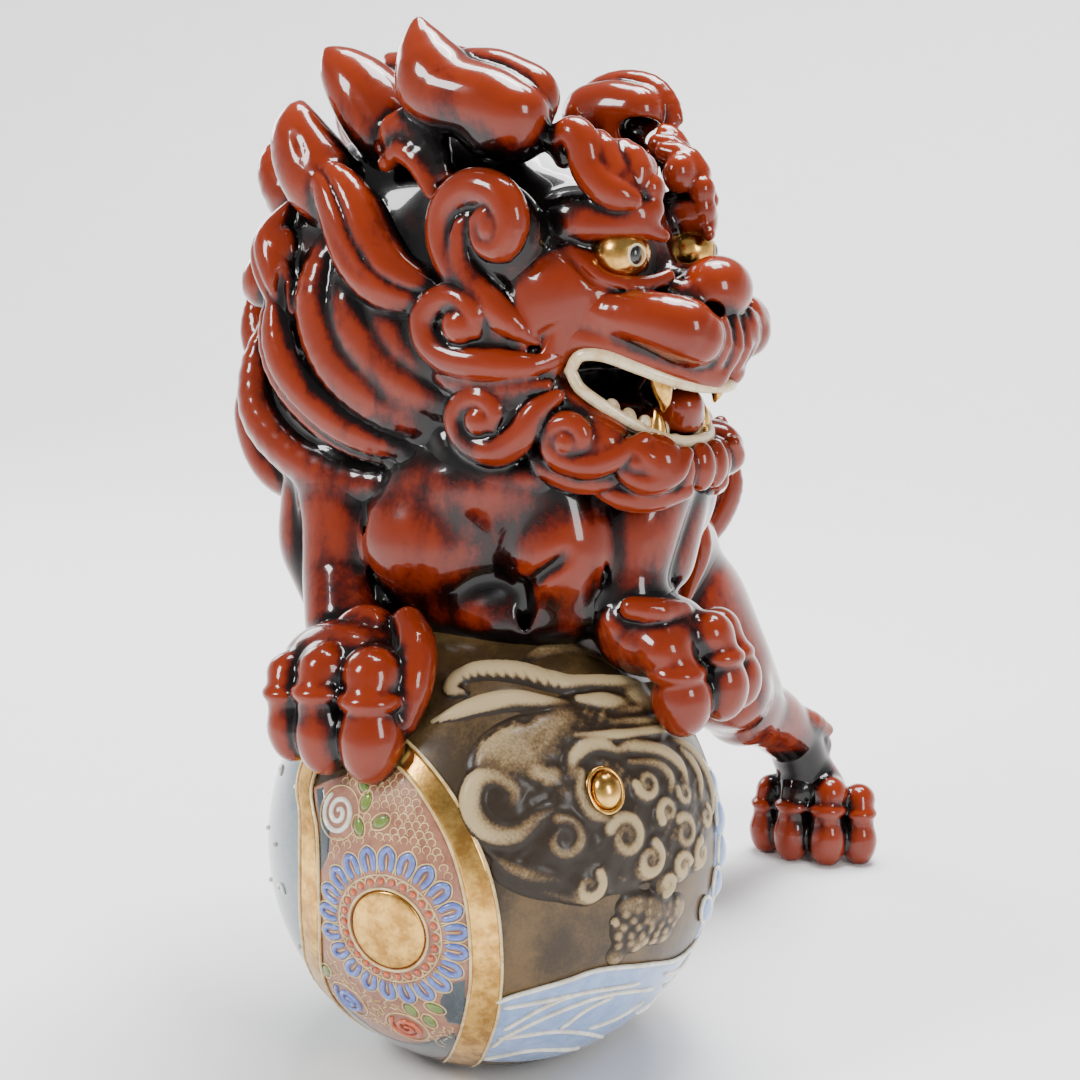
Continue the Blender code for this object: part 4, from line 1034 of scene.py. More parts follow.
def make_medallion(paints):
    """A gilt disc in a ring of orange beads and a ring of blue petals, all outlined with trailed gold lines."""
    disc = dome(MEDAL, *DISC, (12.3, 12.5), 0.35, rings=10, sides=64, out=0.55)
    trailed("medallion_disc", [disc], paints["gilt"], "gilt")
    gold = [enamel_line(MEDAL, arc(DISC, round_angles(64), radius), thick, out, 64, True)
            for radius, thick, out in ((12.7, 0.42, 0.6), (16.6, 0.22, 0.45))]
    blue, orange = [], []
    for a in round_angles(26):
        centre = arc(DISC, a, 14.7)
        orange.append(dome(MEDAL, *centre, (1.15, 1.15), 0.75, out=0.4, rings=3, sides=10))
        outline = arc(centre, a + np.radians([100, 60, 20, 0, -20, -60, -100]), 1.75)
        gold.append(enamel_line(MEDAL, outline, 0.22, 0.5, 9))
    count = 21
    for i in range(count):
        degrees = 360 * (i + 0.3) / count

        def petal(*pairs):
            return turned(DISC, *np.array(pairs).T, degrees)

        blue.append(enamel_line(MEDAL, petal((17.8, -1.2), (20.4, -1.75), (22.6, -1.5), (23.9, 0), (22.6, 1.5),
                (20.4, 1.75), (17.8, 1.2)), 0.95, 0.3, 16, sides=8))
        gold.append(enamel_line(MEDAL, petal((17.0, -2.1), (20.4, -3.0), (23.2, -2.7), (25.2, 0), (23.2, 2.7),
                (20.4, 3.0), (17.0, 2.1)), 0.26, 0.5, 18))
        gold.append(enamel_line(MEDAL, petal((18.2, 0), (22.0, 0)), 0.24, 0.5, 4))
    trailed("medallion_petals", blue, paints["petal_blue"], "blue_enamel")
    trailed("medallion_beads", orange, paints["orange"], "ball_enamels")
    trailed("medallion_gold_lines", gold, paints["gold_line"], "gilt")


def make_flowers(paints):
    """Spiral blossoms, leaves, fish-scale rings and wormed lines of the brocade, and dots of the grey-blue field."""
    gold, leaves = [], []
    t = np.linspace(0, 1, 34)
    for name, centre, size, paint, slot in BLOSSOMS:
        spiral = arc(centre, 2.3 + 2 * math.pi * 2.1 * t, size * (1 - 0.93 * t))
        trailed("blossom_" + name, [enamel_line(MEDAL, spiral, 0.8, 0.45, 60, sides=8)], paints[paint], slot)
        gold.append(enamel_line(MEDAL, arc(centre, round_angles(36), size + 1.5), 0.24, 0.5, 36, True))
    for u, v, turn in LEAVES:
        leaves.append(dome(MEDAL, u, v, (3.1, 1.9), 0.55, turn, out=0.4, sides=14))
        gold.append(enamel_line(MEDAL, arc((u, v), round_angles(20), 3.5, 2.3, turn), 0.22, 0.5, 20, True))
    trailed("leaves", leaves, paints["leaf"], "ball_enamels")
    taken = [(*centre, size + 1.8) for _, centre, size, _, _ in BLOSSOMS] + [(*DISC, 26.2)]
    taken += [(u, v, 3.6) for u, v, _ in LEAVES]
    rng = np.random.default_rng(5)
    for row in range(46):
        v = 49 - row * 2.15
        for u in np.arange(-30, 30, 2.75) + (row % 2) * 1.37:
            inside = side_at(FAR_RIGHT, v) + 2.2 < u < side_at(BAND_LEFT, v) - 2.2
            clear = all((u - a) ** 2 + (v - b) ** 2 > r * r for a, b, r in taken)
            navy = (v < -12 and u > 15 and v > -34) or (v > 11 and u < -17) or v < -43 - 0.25 * u
            if not inside or not clear or navy:
                continue
            du, dv = rng.uniform(-0.35, 0.35, 2)
            centre = (u + du, v + dv)
            if v > 12 or (v > -10 and u > 20):
                line, count = arc(centre, np.radians(np.arange(-60, 241, 50)) + rng.uniform(-0.2, 0.2), 1.3, 1.15), 8
            else:
                x, y = np.array([-1.3, -0.6, 0.1, 0.8, 1.3]), np.array([0.2, 0.8, 0.1, -0.7, -0.1])
                line, count = turned(centre, x, y, math.degrees(rng.uniform(0, 2 * math.pi))), 7
            gold.append(enamel_line(MEDAL, line, 0.2, 0.42, count, sides=5))
    for curve in (BAND_LEFT, BAND_RIGHT, FAR_LEFT, FAR_RIGHT):
        gold.append(enamel_line(MEDAL, curve, 0.5, 0.65, 110))
    trailed("brocade_gold_lines", gold, paints["gold_line"], "gilt")
    dots = []
    for i in range(70):
        az = -128 - (i % 10) * 17 - rng.uniform(0, 8)
        lat = -46 + (i // 10) * 13 + rng.uniform(-3, 3)
        spot = Chart(az, lat)
        if i % 3:
            dots.append(dome(spot, 0, 0, (0.9, 0.9), 1.0, out=0.3, rings=3, sides=10))
        else:
            dots.append(enamel_line(spot, ((-3, -1), (-1.2, 1.2), (1.2, 1.4), (3, -0.6)), 0.6, 0.5, 10))
    trailed("white_foam_dots", dots, paints["white"], "ivory_enamel")


def rope_height(u, v, points, radius, height):
    """Height of a half-round rope laid on the chart: h * sqrt(1 - (d/r)2), where d is the distance to its line."""
    points = np.asarray(points, float)
    radius = np.interp(np.linspace(0, 1, len(points)), np.linspace(0, 1, len(radius)), radius)
    count = int(np.clip(np.linalg.norm(np.diff(points, axis=0), axis=1).sum() / 1.5, 6, 40))
    line = spline(np.column_stack([points, radius]), count)
    total = np.full(u.shape, -1.0)
    for a, b in zip(line[:-1], line[1:]):
        du, dv = b[0] - a[0], b[1] - a[1]
        t = np.clip(((u - a[0]) * du + (v - a[1]) * dv) / max(du * du + dv * dv, 1e-9), 0, 1)
        r = a[2] + t * (b[2] - a[2])
        d2 = ((u - a[0] - t * du) ** 2 + (v - a[1] - t * dv) ** 2) / r**2
        rise = np.sqrt(np.maximum(1 - d2, 0)) * height * np.minimum(r / radius.max(), 1)
        total = np.maximum(total, np.where(d2 < 1, rise, -1))
    return total


def make_dragon(finish):
    """The dragon's face in low relief: the height over a chart of the ball is the highest of its lobes and ropes."""
    v, u = np.meshgrid(np.arange(-52, 62, 0.58), np.arange(-46, 72, 0.58), indexing="ij")
    h = np.full(u.shape, -0.6)

    def lobe(cu, cv, ru, rv, high, turn=0.0, power=0.5):
        """An oval swelling: high (1 - d2) to that power, where d is 1 at its edge, and -1 outside."""
        c, s = math.cos(math.radians(turn)), math.sin(math.radians(turn))
        x, y = (u - cu) * c + (v - cv) * s, -(u - cu) * s + (v - cv) * c
        d2 = (x / ru) ** 2 + (y / rv) ** 2
        return np.where(d2 < 1, high * np.maximum(1 - d2, 0) ** power, -1)

    def lay(new, base=0.0, soft=0.5):
        """Puts a shape on the relief where it is the higher, with a soft join."""
        nonlocal h
        new = np.where(new > -1, new + base, -1)
        k = np.maximum(soft - np.abs(h - new), 0) / soft
        h = np.where(new > -1, np.maximum(h, new) + k * k * soft * 0.25, h)

    def curl(cu, cv, size, thick, turns, start, hand, high, base):
        """A snail curl over a low swelling."""
        t = np.linspace(0, 1, 22)
        spiral = arc((cu, cv), math.radians(start) + hand * 2 * math.pi * turns * t, (size - thick) * (1 - t) + 0.3)
        lay(lobe(cu, cv, size, size, high * 0.5), base, 0.3)
        lay(rope_height(u, v, spiral, [thick, thick * 0.6], high), base, 0.2)

    for place in ((-14, 20, 20, 13, 2.2, 10), (4, 24, 20, 13, 2.2, 0), (22, 30, 22, 10, 2.4, 12),
            (30, 20, 22, 10, 1.8, 0), (12, 8, 24, 20, 2.0, 0), (34, 4, 20, 20, 2.4, 0), (4, -8, 26, 16, 2.0, 0),
            (32, -12, 18, 13, 2.4, 20), (-22, 4, 15, 14, 2.0, 0), (-12, -14, 20, 9, 1.6, -12),
            (46, 0, 11, 16, 2.2, 0)):
        lay(lobe(*place, 0.7), 0.0, 1.6)
    scales = 0.22 * np.sin(u * 1.9 + np.sin(v * 0.7)) * np.sin(v * 2.1 + np.sin(u * 0.6))
    grain = 0.3 * np.sin(u * 0.83 + 1.3 * np.sin(v * 0.41)) * np.sin(v * 0.77 + 1.1 * np.sin(u * 0.37))
    h = np.where(h > 0.8, h + scales + grain, h)
    lay(lobe(-18, 20, 13, 9, 1.6, 15, 0.7), 1.4, 0.8)
    lay(lobe(-6, 26, 11, 6, 1.4, 20, 0.7), 1.4, 0.8)
    lay(rope_height(u, v, [(-39.5, 37.2), (-31, 38), (-22.8, 38.6), (-13.6, 38.0), (-5, 35), (4, 33)],
            [0.8, 2.8, 3.6, 3.6, 3, 1.6], 2.6), 0.3)
    horn = rope_height(u, v, [(-27, 44), (-31, 46.4), (-28.6, 50), (-22, 51.8), (-14.9, 50.2), (-8.1, 47.4),
            (-1.8, 43.6), (4, 41), (13, 39)], [1.4, 2.4, 3.0, 3.6, 4.0, 4.2, 4.0, 3.6, 2.6], 3.4)
    ribs = 0.8 * (0.5 + 0.5 * np.sin((u + 0.3 * v) * 2.6)) * (u > -27) * (u < 1)
    lay(np.where(horn > 0, horn - ribs, horn), 0.3, 0.3)
    lay(rope_height(u, v, [(0, 41), (8, 40.6), (18, 39.4), (28, 38), (38, 35.6)], [1.8, 2.6, 3.2, 3.6, 2.4], 2.4),
            1.4, 0.6)
    lay(lobe(29, 33, 8, 5, 2.2, -20), 2.0, 0.6)
    lay(lobe(40, 33.5, 5, 4, 1.8), 2.2, 0.6)
    lay(lobe(37.5, 37, 3.4, 2.6, 1.2), 3.0, 0.4)
    lay(rope_height(u, v, [(6, 34), (14, 32.5), (22, 31.5)], [2, 3.4, 2.2], 1.8), 1.8, 0.8)
    for row, high in ((((17, 28.6), (26, 29.0), (38, 30.2)), 1.5), (((13, 25.4), (24, 24.8), (36, 25.4)), 1.5),
            (((0, 22.6), (10, 21.4), (21, 21.2), (34, 22)), 2.0)):
        lay(rope_height(u, v, row, [1.2, 2.0, 1.6], high), 1.8, 0.4)
    for cu, cv, ru, rv in ((-10.3, 12, 4.4, 3.4), (-3.4, 11.6, 3.6, 3.2), (-7, 6.4, 4.0, 4.4), (-14, 14, 3.6, 3),
            (-2, 4.6, 3, 3.6)):
        lay(lobe(cu, cv, ru, rv, 1.2), 1.8, 0.6)
    lay(rope_height(u, v, [(-4, 14), (-1.9, 17), (2.5, 19.3), (7.5, 19.2), (12, 16.6)], [1.6, 2.4, 2.6, 2.4, 1.4],
            1.8), 1.8, 0.4)
    lay(rope_height(u, v, [(-1.5, 12), (-3.6, 6), (-1.5, 0.5), (4, -2)], [1.6, 2.4, 2.4, 1.6], 1.8), 1.8, 0.4)
    lay(rope_height(u, v, [(8.4, -1), (-1.7, -1.6), (-9, 2.5), (-15.3, 1.8), (-23.5, -1.8), (-30.6, 1.0),
            (-33.6, 7.9), (-31, 14.4), (-25.4, 14.8), (-21.3, 10.2), (-23.4, 5.6), (-28, 6.4)],
            [1.6, 2.2, 2.6, 3.0, 3.6, 3.8, 3.8, 3.6, 3.2, 2.8, 2.2, 1.6], 2.2), 1.2, 0.3)
    for cu, cv, size, thick, turns, start, hand in ((-10, -5.2, 7.8, 2.5, 1.7, 100, -1),
            (8.9, -7.5, 8.0, 2.5, 1.8, 150, -1), (16.6, -15.0, 6.6, 2.1, 1.6, 60, -1),
            (32, -9.4, 6.8, 2.2, 1.6, 120, -1), (19.3, 6.2, 5.8, 1.9, 1.6, 180, 1), (40.5, -17, 5.8, 1.9, 1.5, 90, 1),
            (25.5, -2.5, 5.4, 1.9, 1.4, 220, -1), (30, -19, 5.4, 1.9, 1.5, 10, 1), (34.5, 2.2, 4.8, 1.7, 1.4, 160, 1),
            (45, -6, 5.0, 1.8, 1.4, 60, -1), (23.4, -23, 4.4, 1.6, 1.3, 260, 1), (-4, -19, 6.0, 2.0, 1.3, 40, -1)):
        curl(cu, cv, size, thick, turns, start, hand, 2.0, 1.5)
    for row, radii, high, base in ((((-30.7, -5.1), (-24, -11.4), (-15.6, -14.6), (-8, -14.4)), (1.2, 2.6, 2.8, 1.6),
            1.6, 0.6), (((-22, -17), (-14.8, -19.4), (-7.1, -22.3), (0.3, -21.6), (3.4, -17)),
            (1.0, 2.0, 2.4, 2.4, 1.6), 1.4, 0.3), (((12, 17), (18, 17.4), (28.8, 15), (35.6, 10.4), (37, 5)),
            (1.4, 2.4, 2.8, 2.6, 1.6), 2.0, 1.8), (((15, 13), (24.6, 11.6), (29.4, 7.6), (28, 3)),
            (1.2, 2.0, 2.2, 1.4), 1.6, 1.8), (((36, 19), (44, 16), (50, 10), (53.6, 3.2), (53, -5)),
            (1.6, 2.8, 3.0, 2.8, 1.6), 2.2, 1.2), (((39, 15), (43, 11), (45, 6), (43.6, 0)), (1.4, 2.2, 2.2, 1.4),
            1.8, 1.8)):
        lay(rope_height(u, v, row, radii, high), base, 0.3)
    for cu, cv, ru, rv, high in ((12, -28, 7, 4.6, 1.6), (20, -31, 9, 7, 2.0), (29, -33, 7, 5.6, 1.6),
            (8, -35, 4.4, 5, 1.2), (14, -39, 7, 5, 1.5), (7, -43, 4, 4, 1.0), (25, -40, 6, 4, 1.2)):
        lay(lobe(cu, cv, ru, rv, high, 0, 0.6), 0.0, 0.8)
    for n in range(34):
        angle, away = 2.39996 * n, 2.1 * math.sqrt(n)
        cu, cv = 18 + away * math.cos(angle) * 1.15, -34 + away * math.sin(angle) * 0.72
        lay(lobe(cu, cv, 1.9, 1.6, 1.1, 40 * n), 1.1 - 0.02 * n, 0.4)
    lay(rope_height(u, v, [(-8, 50), (4, 56), (16, 57), (27, 52), (30, 45)], [1.5, 3.2, 3.4, 3.0, 1.6], 0.9), -0.3,
            1.0)
    proud = h - smoothed(h, 6)
    # Painted shade: the relief's colour is darkened towards the chart's west and south, where u < 14 and v < 16.
    shade = 0.35 * np.clip((14 - u) / 20, 0, 1) * np.clip((16 - v) / 10, 0, 1)
    n = smoothed(h, 1)
    d = DRAGON.direction(np.stack([u, v], -1))
    points, faces = shell(d, n, 1.5)
    relief = np.concatenate([(proud * 0.75 + (n - 1.5) * 0.1 - shade).ravel(), np.full(n.size, -1.0)])
    new_piece("dragon_relief", points, faces, finish, "biscuit_relief",
              ["ball_dragon_face", "ball_dragon_horn", "ball_cloud"], {"relief": relief})


def make_ball_extras(paints):
    """The dragon's gilt eye in its ring, and light-blue wave crests with white rims at the side."""
    eye = (4.8, 6.0)
    bead = dome(DRAGON, *eye, (4.7, 5.6), 4.2, -8, rings=12, sides=40, out=1.9)
    ring = enamel_line(DRAGON, arc(eye, round_angles(32), 5.4, 6.3), 0.9, 2.0, 40, True, 8)
    trailed("dragon_eye", [bead, ring], paints["gilt"], "gilt", ["ball_dragon_eye"])
    crests, rims = [], []
    for u, v, a, b, turn in CRESTS:
        crests.append(dome(DRAGON, u, v, (a, b), 2.4, turn, rings=6, sides=24, out=0.3))
        rims.append(enamel_line(DRAGON, arc((u, v), np.radians(np.arange(-120, 121, 30)), a, b, turn), 0.7, 0.8, 16))
    trailed("wave_crests", crests, paints["light_blue"], "blue_enamel", ["ball_wave_crest"])
    trailed("wave_crest_rims", rims, paints["white"], "ivory_enamel")


# ---------------------------------------------------------------- eyes, teeth and the mouth's rim


def ball_of(place, centre, radii, out=(1, 0, 0), rings=24, sides=36):
    """An ellipsoid as rings of latitude from the pole at out, closed at both poles."""
    out, e1, e2 = facing(out)
    t = np.linspace(0, math.pi, rings + 1)[1:-1]
    a = round_angles(sides)
    unit = (np.sin(t)[:, None, None] * (np.cos(a)[None, :, None] * e1 + np.sin(a)[None, :, None] * e2)
            + np.cos(t)[:, None, None] * out).reshape(-1, 3)
    points = place.point(np.concatenate([unit, [out, -out]]) * np.array(radii) + np.array(centre))
    n = len(unit)
    k, after = np.arange(sides), (np.arange(sides) + 1) % sides
    faces = np.concatenate([split(grid_faces(rings - 1, sides, True)), np.stack([np.full(sides, n), after, k], 1),
            np.stack([np.full(sides, n + 1), n - sides + k, n - sides + after], 1)])
    return points, outward(points, faces, place.point([centre])[0])


def fang(place, points):
    """A fang: a cord along the points that thins to a tip."""
    radii = np.array([3.3, 3.0, 2.0, 0.5])
    line = spline(np.column_stack([points, radii]), 14)
    return tube(place.point(line[:, :3]), np.tile([0.31, 0.95, 0.05], (len(line), 1)), line[:, 3], 14)


RIM = ((39.5, -31, -18), (42.5, -30.5, -13.8), (49, -28.5, -13.6), (57, -24.5, -16.6), (64, -18.5, -20),
        (70, -11, -22.5), (74.5, 0, -23.2))
RIM_LOW = ((39.5, -31, -18), (42, -30, -23), (48, -27, -28), (54, -22, -33), (60, -15.2, -37.6), (64.5, -8, -39.4),
        (66, 0, -39.4))


LOWER_TEETH = ((48, -22, -30), (54, -17.5, -34), (59, -9, -37), (60.5, 0, -37.5), (59, 9, -37), (54, 17.5, -34),
        (48, 22, -30))
FANGS = (("upper", ((61, -17.5, -19.5), (62, -17, -23.5), (62.4, -16.4, -27), (61.8, -16, -30))),
         ("lower", ((58, -13.5, -40), (58.5, -13.6, -36), (58.6, -13.8, -32.5), (58, -14, -29.5))))
EYE_CENTRE, EYE_RADII = np.array([50.0, -20.0, 15.0]), np.array([8.2, 8.2, 7.4])
LOOK = (0.88, -0.46, -0.02)  # where the pupils look: ahead and a little out


def make_mouth(paints):
    """The ivory rim that follows both lips, the lower teeth behind it, and the gilt fangs."""
    upper, lower = (np.vstack([half, (half * (1, -1, 1))[-2::-1]]) for half in (np.array(RIM), np.array(RIM_LOW)))
    loop = np.vstack([upper[:-1], lower[::-1][:-1]])
    path = HEAD.point(spline(np.vstack([loop, loop[:1]]), 150)[:-1])
    away = path - HEAD.point([(40, 0, -24)])[0]
    trailed("mouth_rim", [tube(path, away, 1.9, 10, True, 0.85)], paints["ivory"], "ivory_enamel")
    teeth = [ball_of(HEAD, at, (2.6, 2.6, 3.6), (0, 0, 1), 10, 12) for at in spline(LOWER_TEETH, 11)]
    trailed("lower_teeth", teeth, paints["ivory"], "ivory_enamel", ["lower_gum"])
    for place, side in SIDES:
        for jaw, points in FANGS:
            name = "%s_fang_%s" % (jaw, side)
            trailed("glazed_" + name, [fang(place, points)], paints["gilt"], "gilt", [name])


def make_eyes(paints):
    """Gilt eyeballs, each with a cream ring and a black pupil that looks ahead and a little out."""
    look, e1, e2 = facing(LOOK)
    a = round_angles(28)
    ring = look * 0.93 + 0.4 * (0.8 * np.outer(np.cos(a), e1) + np.outer(np.sin(a), e2))
    ring = EYE_CENTRE + ring / np.linalg.norm(ring, axis=1, keepdims=True) * (EYE_RADII + 0.05)
    for place, side in SIDES:
        eyeball = ball_of(place, EYE_CENTRE, EYE_RADII)
        trailed("glazed_eye_" + side, [eyeball], paints["gilt"], "gilt", ["eye_" + side])
        path = place.point(ring)
        iris = tube(path, path - place.point([EYE_CENTRE])[0], 0.4, 8, True)
        trailed("iris_ring_" + side, [iris], paints["ivory"], "ivory_enamel")
        pupil = ball_of(place, EYE_CENTRE + look * EYE_RADII * 0.83, (2.0, 2.7, 3.1), look, 10, 20)
        trailed("pupil_" + side, [pupil], paints["black"], "vermilion_glaze")


# ---------------------------------------------------------------- finishes


class Paint:
    """A value on its way through a material. Arithmetic on it adds Math nodes."""

    def __init__(self, tree, socket):
        self.tree, self.socket = tree, socket

    def maths(self, operation, a, b):
        """A Math node on two values or numbers."""
        return add_node(self.tree, "ShaderNodeMath", {"operation": operation}, {0: a, 1: b})

    def __add__(self, other):
        return self.maths("ADD", self, other)

    __radd__ = __add__

    def __sub__(self, other):
        return self.maths("SUBTRACT", self, other)

    def __rsub__(self, other):
        return self.maths("SUBTRACT", other, self)

    def __mul__(self, other):
        return self.maths("MULTIPLY", self, other)

    __rmul__ = __mul__

    def step(self, low, high):
        """0 below low, 1 above high, and smooth between."""
        return add_node(self.tree, "ShaderNodeMapRange", {"interpolation_type": "SMOOTHSTEP"},
                {0: self, 1: low, 2: high})


def add_node(tree, kind, settings, sockets, output=0):
    """Adds a node, sets its settings first and then its sockets, each to a value or a link."""
    node = tree.nodes.new(kind)
    for key, value in settings.items():
        if key == "stops":
            ramp = node.color_ramp
            while len(ramp.elements) < len(value):
                ramp.elements.new(0.5)
            for element, (at, colour) in zip(ramp.elements, value):
                element.position, element.color = at, (*colour, 1)
        else:
            setattr(node, key, value)
    for key, value in sockets.items():
        if isinstance(value, Paint):
            tree.links.new(value.socket, node.inputs[key])
        else:
            node.inputs[key].default_value = value
    return Paint(tree, node.outputs[output])


class Finish:
    """A material being made: its node tree, its shader and the shared coordinates."""

    def __init__(self, name, **constants):
        self.material = bpy.data.materials.new(name)
        self.material.use_nodes = True
        self.tree = self.material.node_tree
        self.shader = self.tree.nodes["Principled BSDF"]
        for key, value in constants.items():
            self.shader.inputs[key.replace("_", " ")].default_value = value
        self.place = self.node("ShaderNodeTexCoord", output="Object")

    def node(self, kind, settings=None, sockets=None, output=0):
        """Any node, by its type, its settings and what its sockets are given."""
        return add_node(self.tree, kind, settings or {}, sockets or {}, output)

    def noise(self, size_mm, detail=2.0, rough=0.5, stretch=None):
        """Cloudy noise whose blotches are about that size."""
        where = self.place
        if stretch:
            where = self.node("ShaderNodeMapping", {}, {"Vector": where, "Scale": stretch})
        sockets = {"Vector": where, "Scale": 1000.0 / size_mm, "Detail": detail, "Roughness": rough}
        return self.node("ShaderNodeTexNoise", {}, sockets)

    def attribute(self, name):
        """A value stored on the piece's vertices."""
        return self.node("ShaderNodeAttribute", {"attribute_name": name}, output="Fac")

    def mix(self, factor, a, b):
        """From colour a to colour b as the factor goes from 0 to 1."""
        sockets = {0: factor, 6: a if isinstance(a, Paint) else (*a, 1), 7: b if isinstance(b, Paint) else (*b, 1)}
        return self.node("ShaderNodeMix", {"data_type": "RGBA"}, sockets, 2)

    def ramp(self, factor, stops):
        """A colour for each value, through (position, colour) stops."""
        return self.node("ShaderNodeValToRGB", {"stops": stops}, {0: factor})

    def bump(self, height, depth_mm, strength):
        """A normal that follows small heights of that depth."""
        return self.node("ShaderNodeBump", {}, {"Height": height, "Distance": depth_mm * MM, "Strength": strength})

    def feed(self, **links):
        """Links values to the shader's sockets, and hands over the material."""
        for key, value in links.items():
            self.tree.links.new(value.socket, self.shader.inputs[key.replace("_", " ")])
        return self.material


def vermilion_glaze(red, deep, black):
    """Red glaze wiped over black: black pools in the hollows and red is left on what stands proud, in streaks."""
    f = Finish("vermilion_glaze", Coat_Weight=0.8, Coat_Roughness=0.04, Coat_IOR=1.42, IOR=1.5,
            Specular_IOR_Level=0.1)
    height = f.attribute("height")
    cloud, streak, fine = f.noise(26, 3), f.noise(7, 3, 0.6, (1.0, 1.0, 0.35)), f.noise(1.6, 2, 0.6)
    worn = height + (cloud - 0.5) * 0.45 + (streak - 0.5) * 0.5 + (fine - 0.5) * 0.14
    amount = worn.step(-0.22, 0.22)
    edge = [c * 0.18 + b * 0.8 for c, b in zip(deep, black)]
    colour = f.ramp(amount, [(0.0, black), (0.32, edge), (0.62, deep), (1.0, red)])
    colour = f.mix(cloud.step(0.35, 0.75) * 0.3, colour, f.mix(amount, black, deep))
    return f.feed(Base_Color=colour, Roughness=0.16 + fine * 0.1, Normal=f.bump(f.noise(9, 1), 0.12, 0.5))


def gilt(gold, shade):
    """Bright gold over the glaze, with brushed, thinner places."""
    f = Finish("gilt", Metallic=1.0)
    cloud, fine = f.noise(6, 3, 0.6), f.noise(1.2, 2)
    colour = f.mix((cloud + fine * 0.3).step(0.45, 0.85), gold, shade)
    return f.feed(Base_Color=colour, Roughness=0.12 + cloud * 0.2, Normal=f.bump(fine, 0.05, 0.5))


def ivory_enamel(cream, stain):
    """Cream enamel with a brownish stain in soft clouds."""
    f = Finish("ivory_enamel", Coat_Weight=0.6, Coat_Roughness=0.08)
    cloud, fine = f.noise(5, 3, 0.6), f.noise(1.0, 2)
    colour = f.mix((cloud + fine * 0.25).step(0.5, 0.85), cream, stain)
    return f.feed(Base_Color=colour, Roughness=0.25 + fine * 0.15, Normal=f.bump(fine, 0.06, 0.5))


def biscuit(dark, brown, cream):
    """Dull relief: brown stain in the hollows, and cream rubbed over what stands proud, under thin glaze. The relief
    value also carries a painted shade over part of the dragon.
    """
    f = Finish("biscuit_relief", Coat_Weight=0.2, Coat_Roughness=0.22, Specular_IOR_Level=0.25)
    relief = f.attribute("relief")
    cloud, grain = f.noise(16, 3, 0.6), f.noise(0.9, 2, 0.7)
    amount = (relief + (cloud - 0.5) * 0.5 + (grain - 0.5) * 0.55).step(-0.15, 0.75)
    return f.feed(Base_Color=f.ramp(amount, [(0.0, dark), (0.35, brown), (1.0, cream)]), Roughness=0.42 + grain * 0.2,
            Normal=f.bump(grain, 0.12, 0.6))


def brown_ground(dark, brown):
    """The ball's olive-brown ground, glossier and darker in clouds."""
    f = Finish("brown_ground", Coat_Weight=0.3, Coat_Roughness=0.16, Specular_IOR_Level=0.25)
    cloud, grain = f.noise(24, 3, 0.6), f.noise(1.1, 2, 0.7)
    amount = (cloud + (grain - 0.5) * 0.3).step(0.35, 0.72)
    return f.feed(Base_Color=f.mix(amount, dark, brown), Roughness=0.34 + grain * 0.2, Normal=f.bump(grain, 0.1, 0.6))


def enamel(name, colour, shade, gloss=0.15, coat=0.7):
    """A painted enamel: one colour, thinner and darker in soft clouds, glossy, with a faint ripple."""
    f = Finish(name, Coat_Weight=coat, Coat_Roughness=0.06)
    cloud, fine = f.noise(4.5, 3, 0.6), f.noise(0.8, 2, 0.6)
    return f.feed(Base_Color=f.mix((cloud + fine * 0.25).step(0.42, 0.85), colour, shade),
            Roughness=gloss + fine * 0.15, Normal=f.bump(fine, 0.05, 0.5))


def ball_paints():
    """The enamels of the ball and the face, by name."""
    return {
        "brocade": enamel("brocade_ground", (0.36, 0.155, 0.09), (0.24, 0.085, 0.05), 0.3, 0.4),
        "navy": enamel("navy_enamel", (0.012, 0.022, 0.035), (0.03, 0.05, 0.06)),
        "grey_blue": enamel("grey_blue_enamel", (0.085, 0.135, 0.155), (0.05, 0.09, 0.11)),
        "light_blue": enamel("light_blue_enamel", (0.24, 0.36, 0.60), (0.17, 0.27, 0.50)),
        "petal_blue": enamel("petal_blue_enamel", (0.13, 0.20, 0.55), (0.08, 0.12, 0.40)),
        "white": enamel("white_enamel", (0.78, 0.76, 0.68), (0.55, 0.50, 0.40)),
        "orange": enamel("orange_enamel", (0.60, 0.12, 0.03), (0.42, 0.06, 0.02)),
        "leaf": enamel("leaf_green_enamel", (0.16, 0.24, 0.03), (0.08, 0.13, 0.02)),
        "gold_line": enamel("cream_gold_line", (0.72, 0.55, 0.26), (0.48, 0.30, 0.10), 0.2),
        "gilt": gilt((0.83, 0.49, 0.13), (0.42, 0.21, 0.05)),
        "ivory": ivory_enamel((0.72, 0.58, 0.36), (0.50, 0.34, 0.16)),
        "black": enamel("black_enamel", (0.004, 0.004, 0.004), (0.01, 0.008, 0.008)),
    }


MIDDLE = (0, 0, 0.16)  # what the lamps point at
LAMPS = (  # name, place in metres, aim, size, and share of the main light
    ("key", (-0.55, -0.75, 0.85), MIDDLE, (0.24, 0.34), 1.0),
    ("side", (0.85, -0.55, 0.55), MIDDLE, (0.25, 0.45), 0.5),
    ("top", (0.1, 0.1, 1.1), MIDDLE, (0.34, 0.3), 1.1),
    ("left", (-0.9, 0.5, 0.6), MIDDLE, (0.4, 0.4), 0.4),
)
PAPER_LAMP = ("paper", (0.0, 0.9, 2.2), (-0.3, 1.5, 0.3), (1.6, 0.8))
CAMERA_AT, CAMERA_AIM = (0.2226, -0.5660, 0.262), (0.0072, -0.0329, 0.155)
LENS, SENSOR_WIDTH = 58.9, 36.0


def put_in_scene(name, data, at, aim):
    """An object at a place, that looks along its -Z at another."""
    obj = bpy.data.objects.new(name, data)
    obj.location = at
    obj.rotation_euler = (Vector(aim) - obj.location).to_track_quat("-Z", "Y").to_euler()
    bpy.context.scene.collection.objects.link(obj)
    return obj


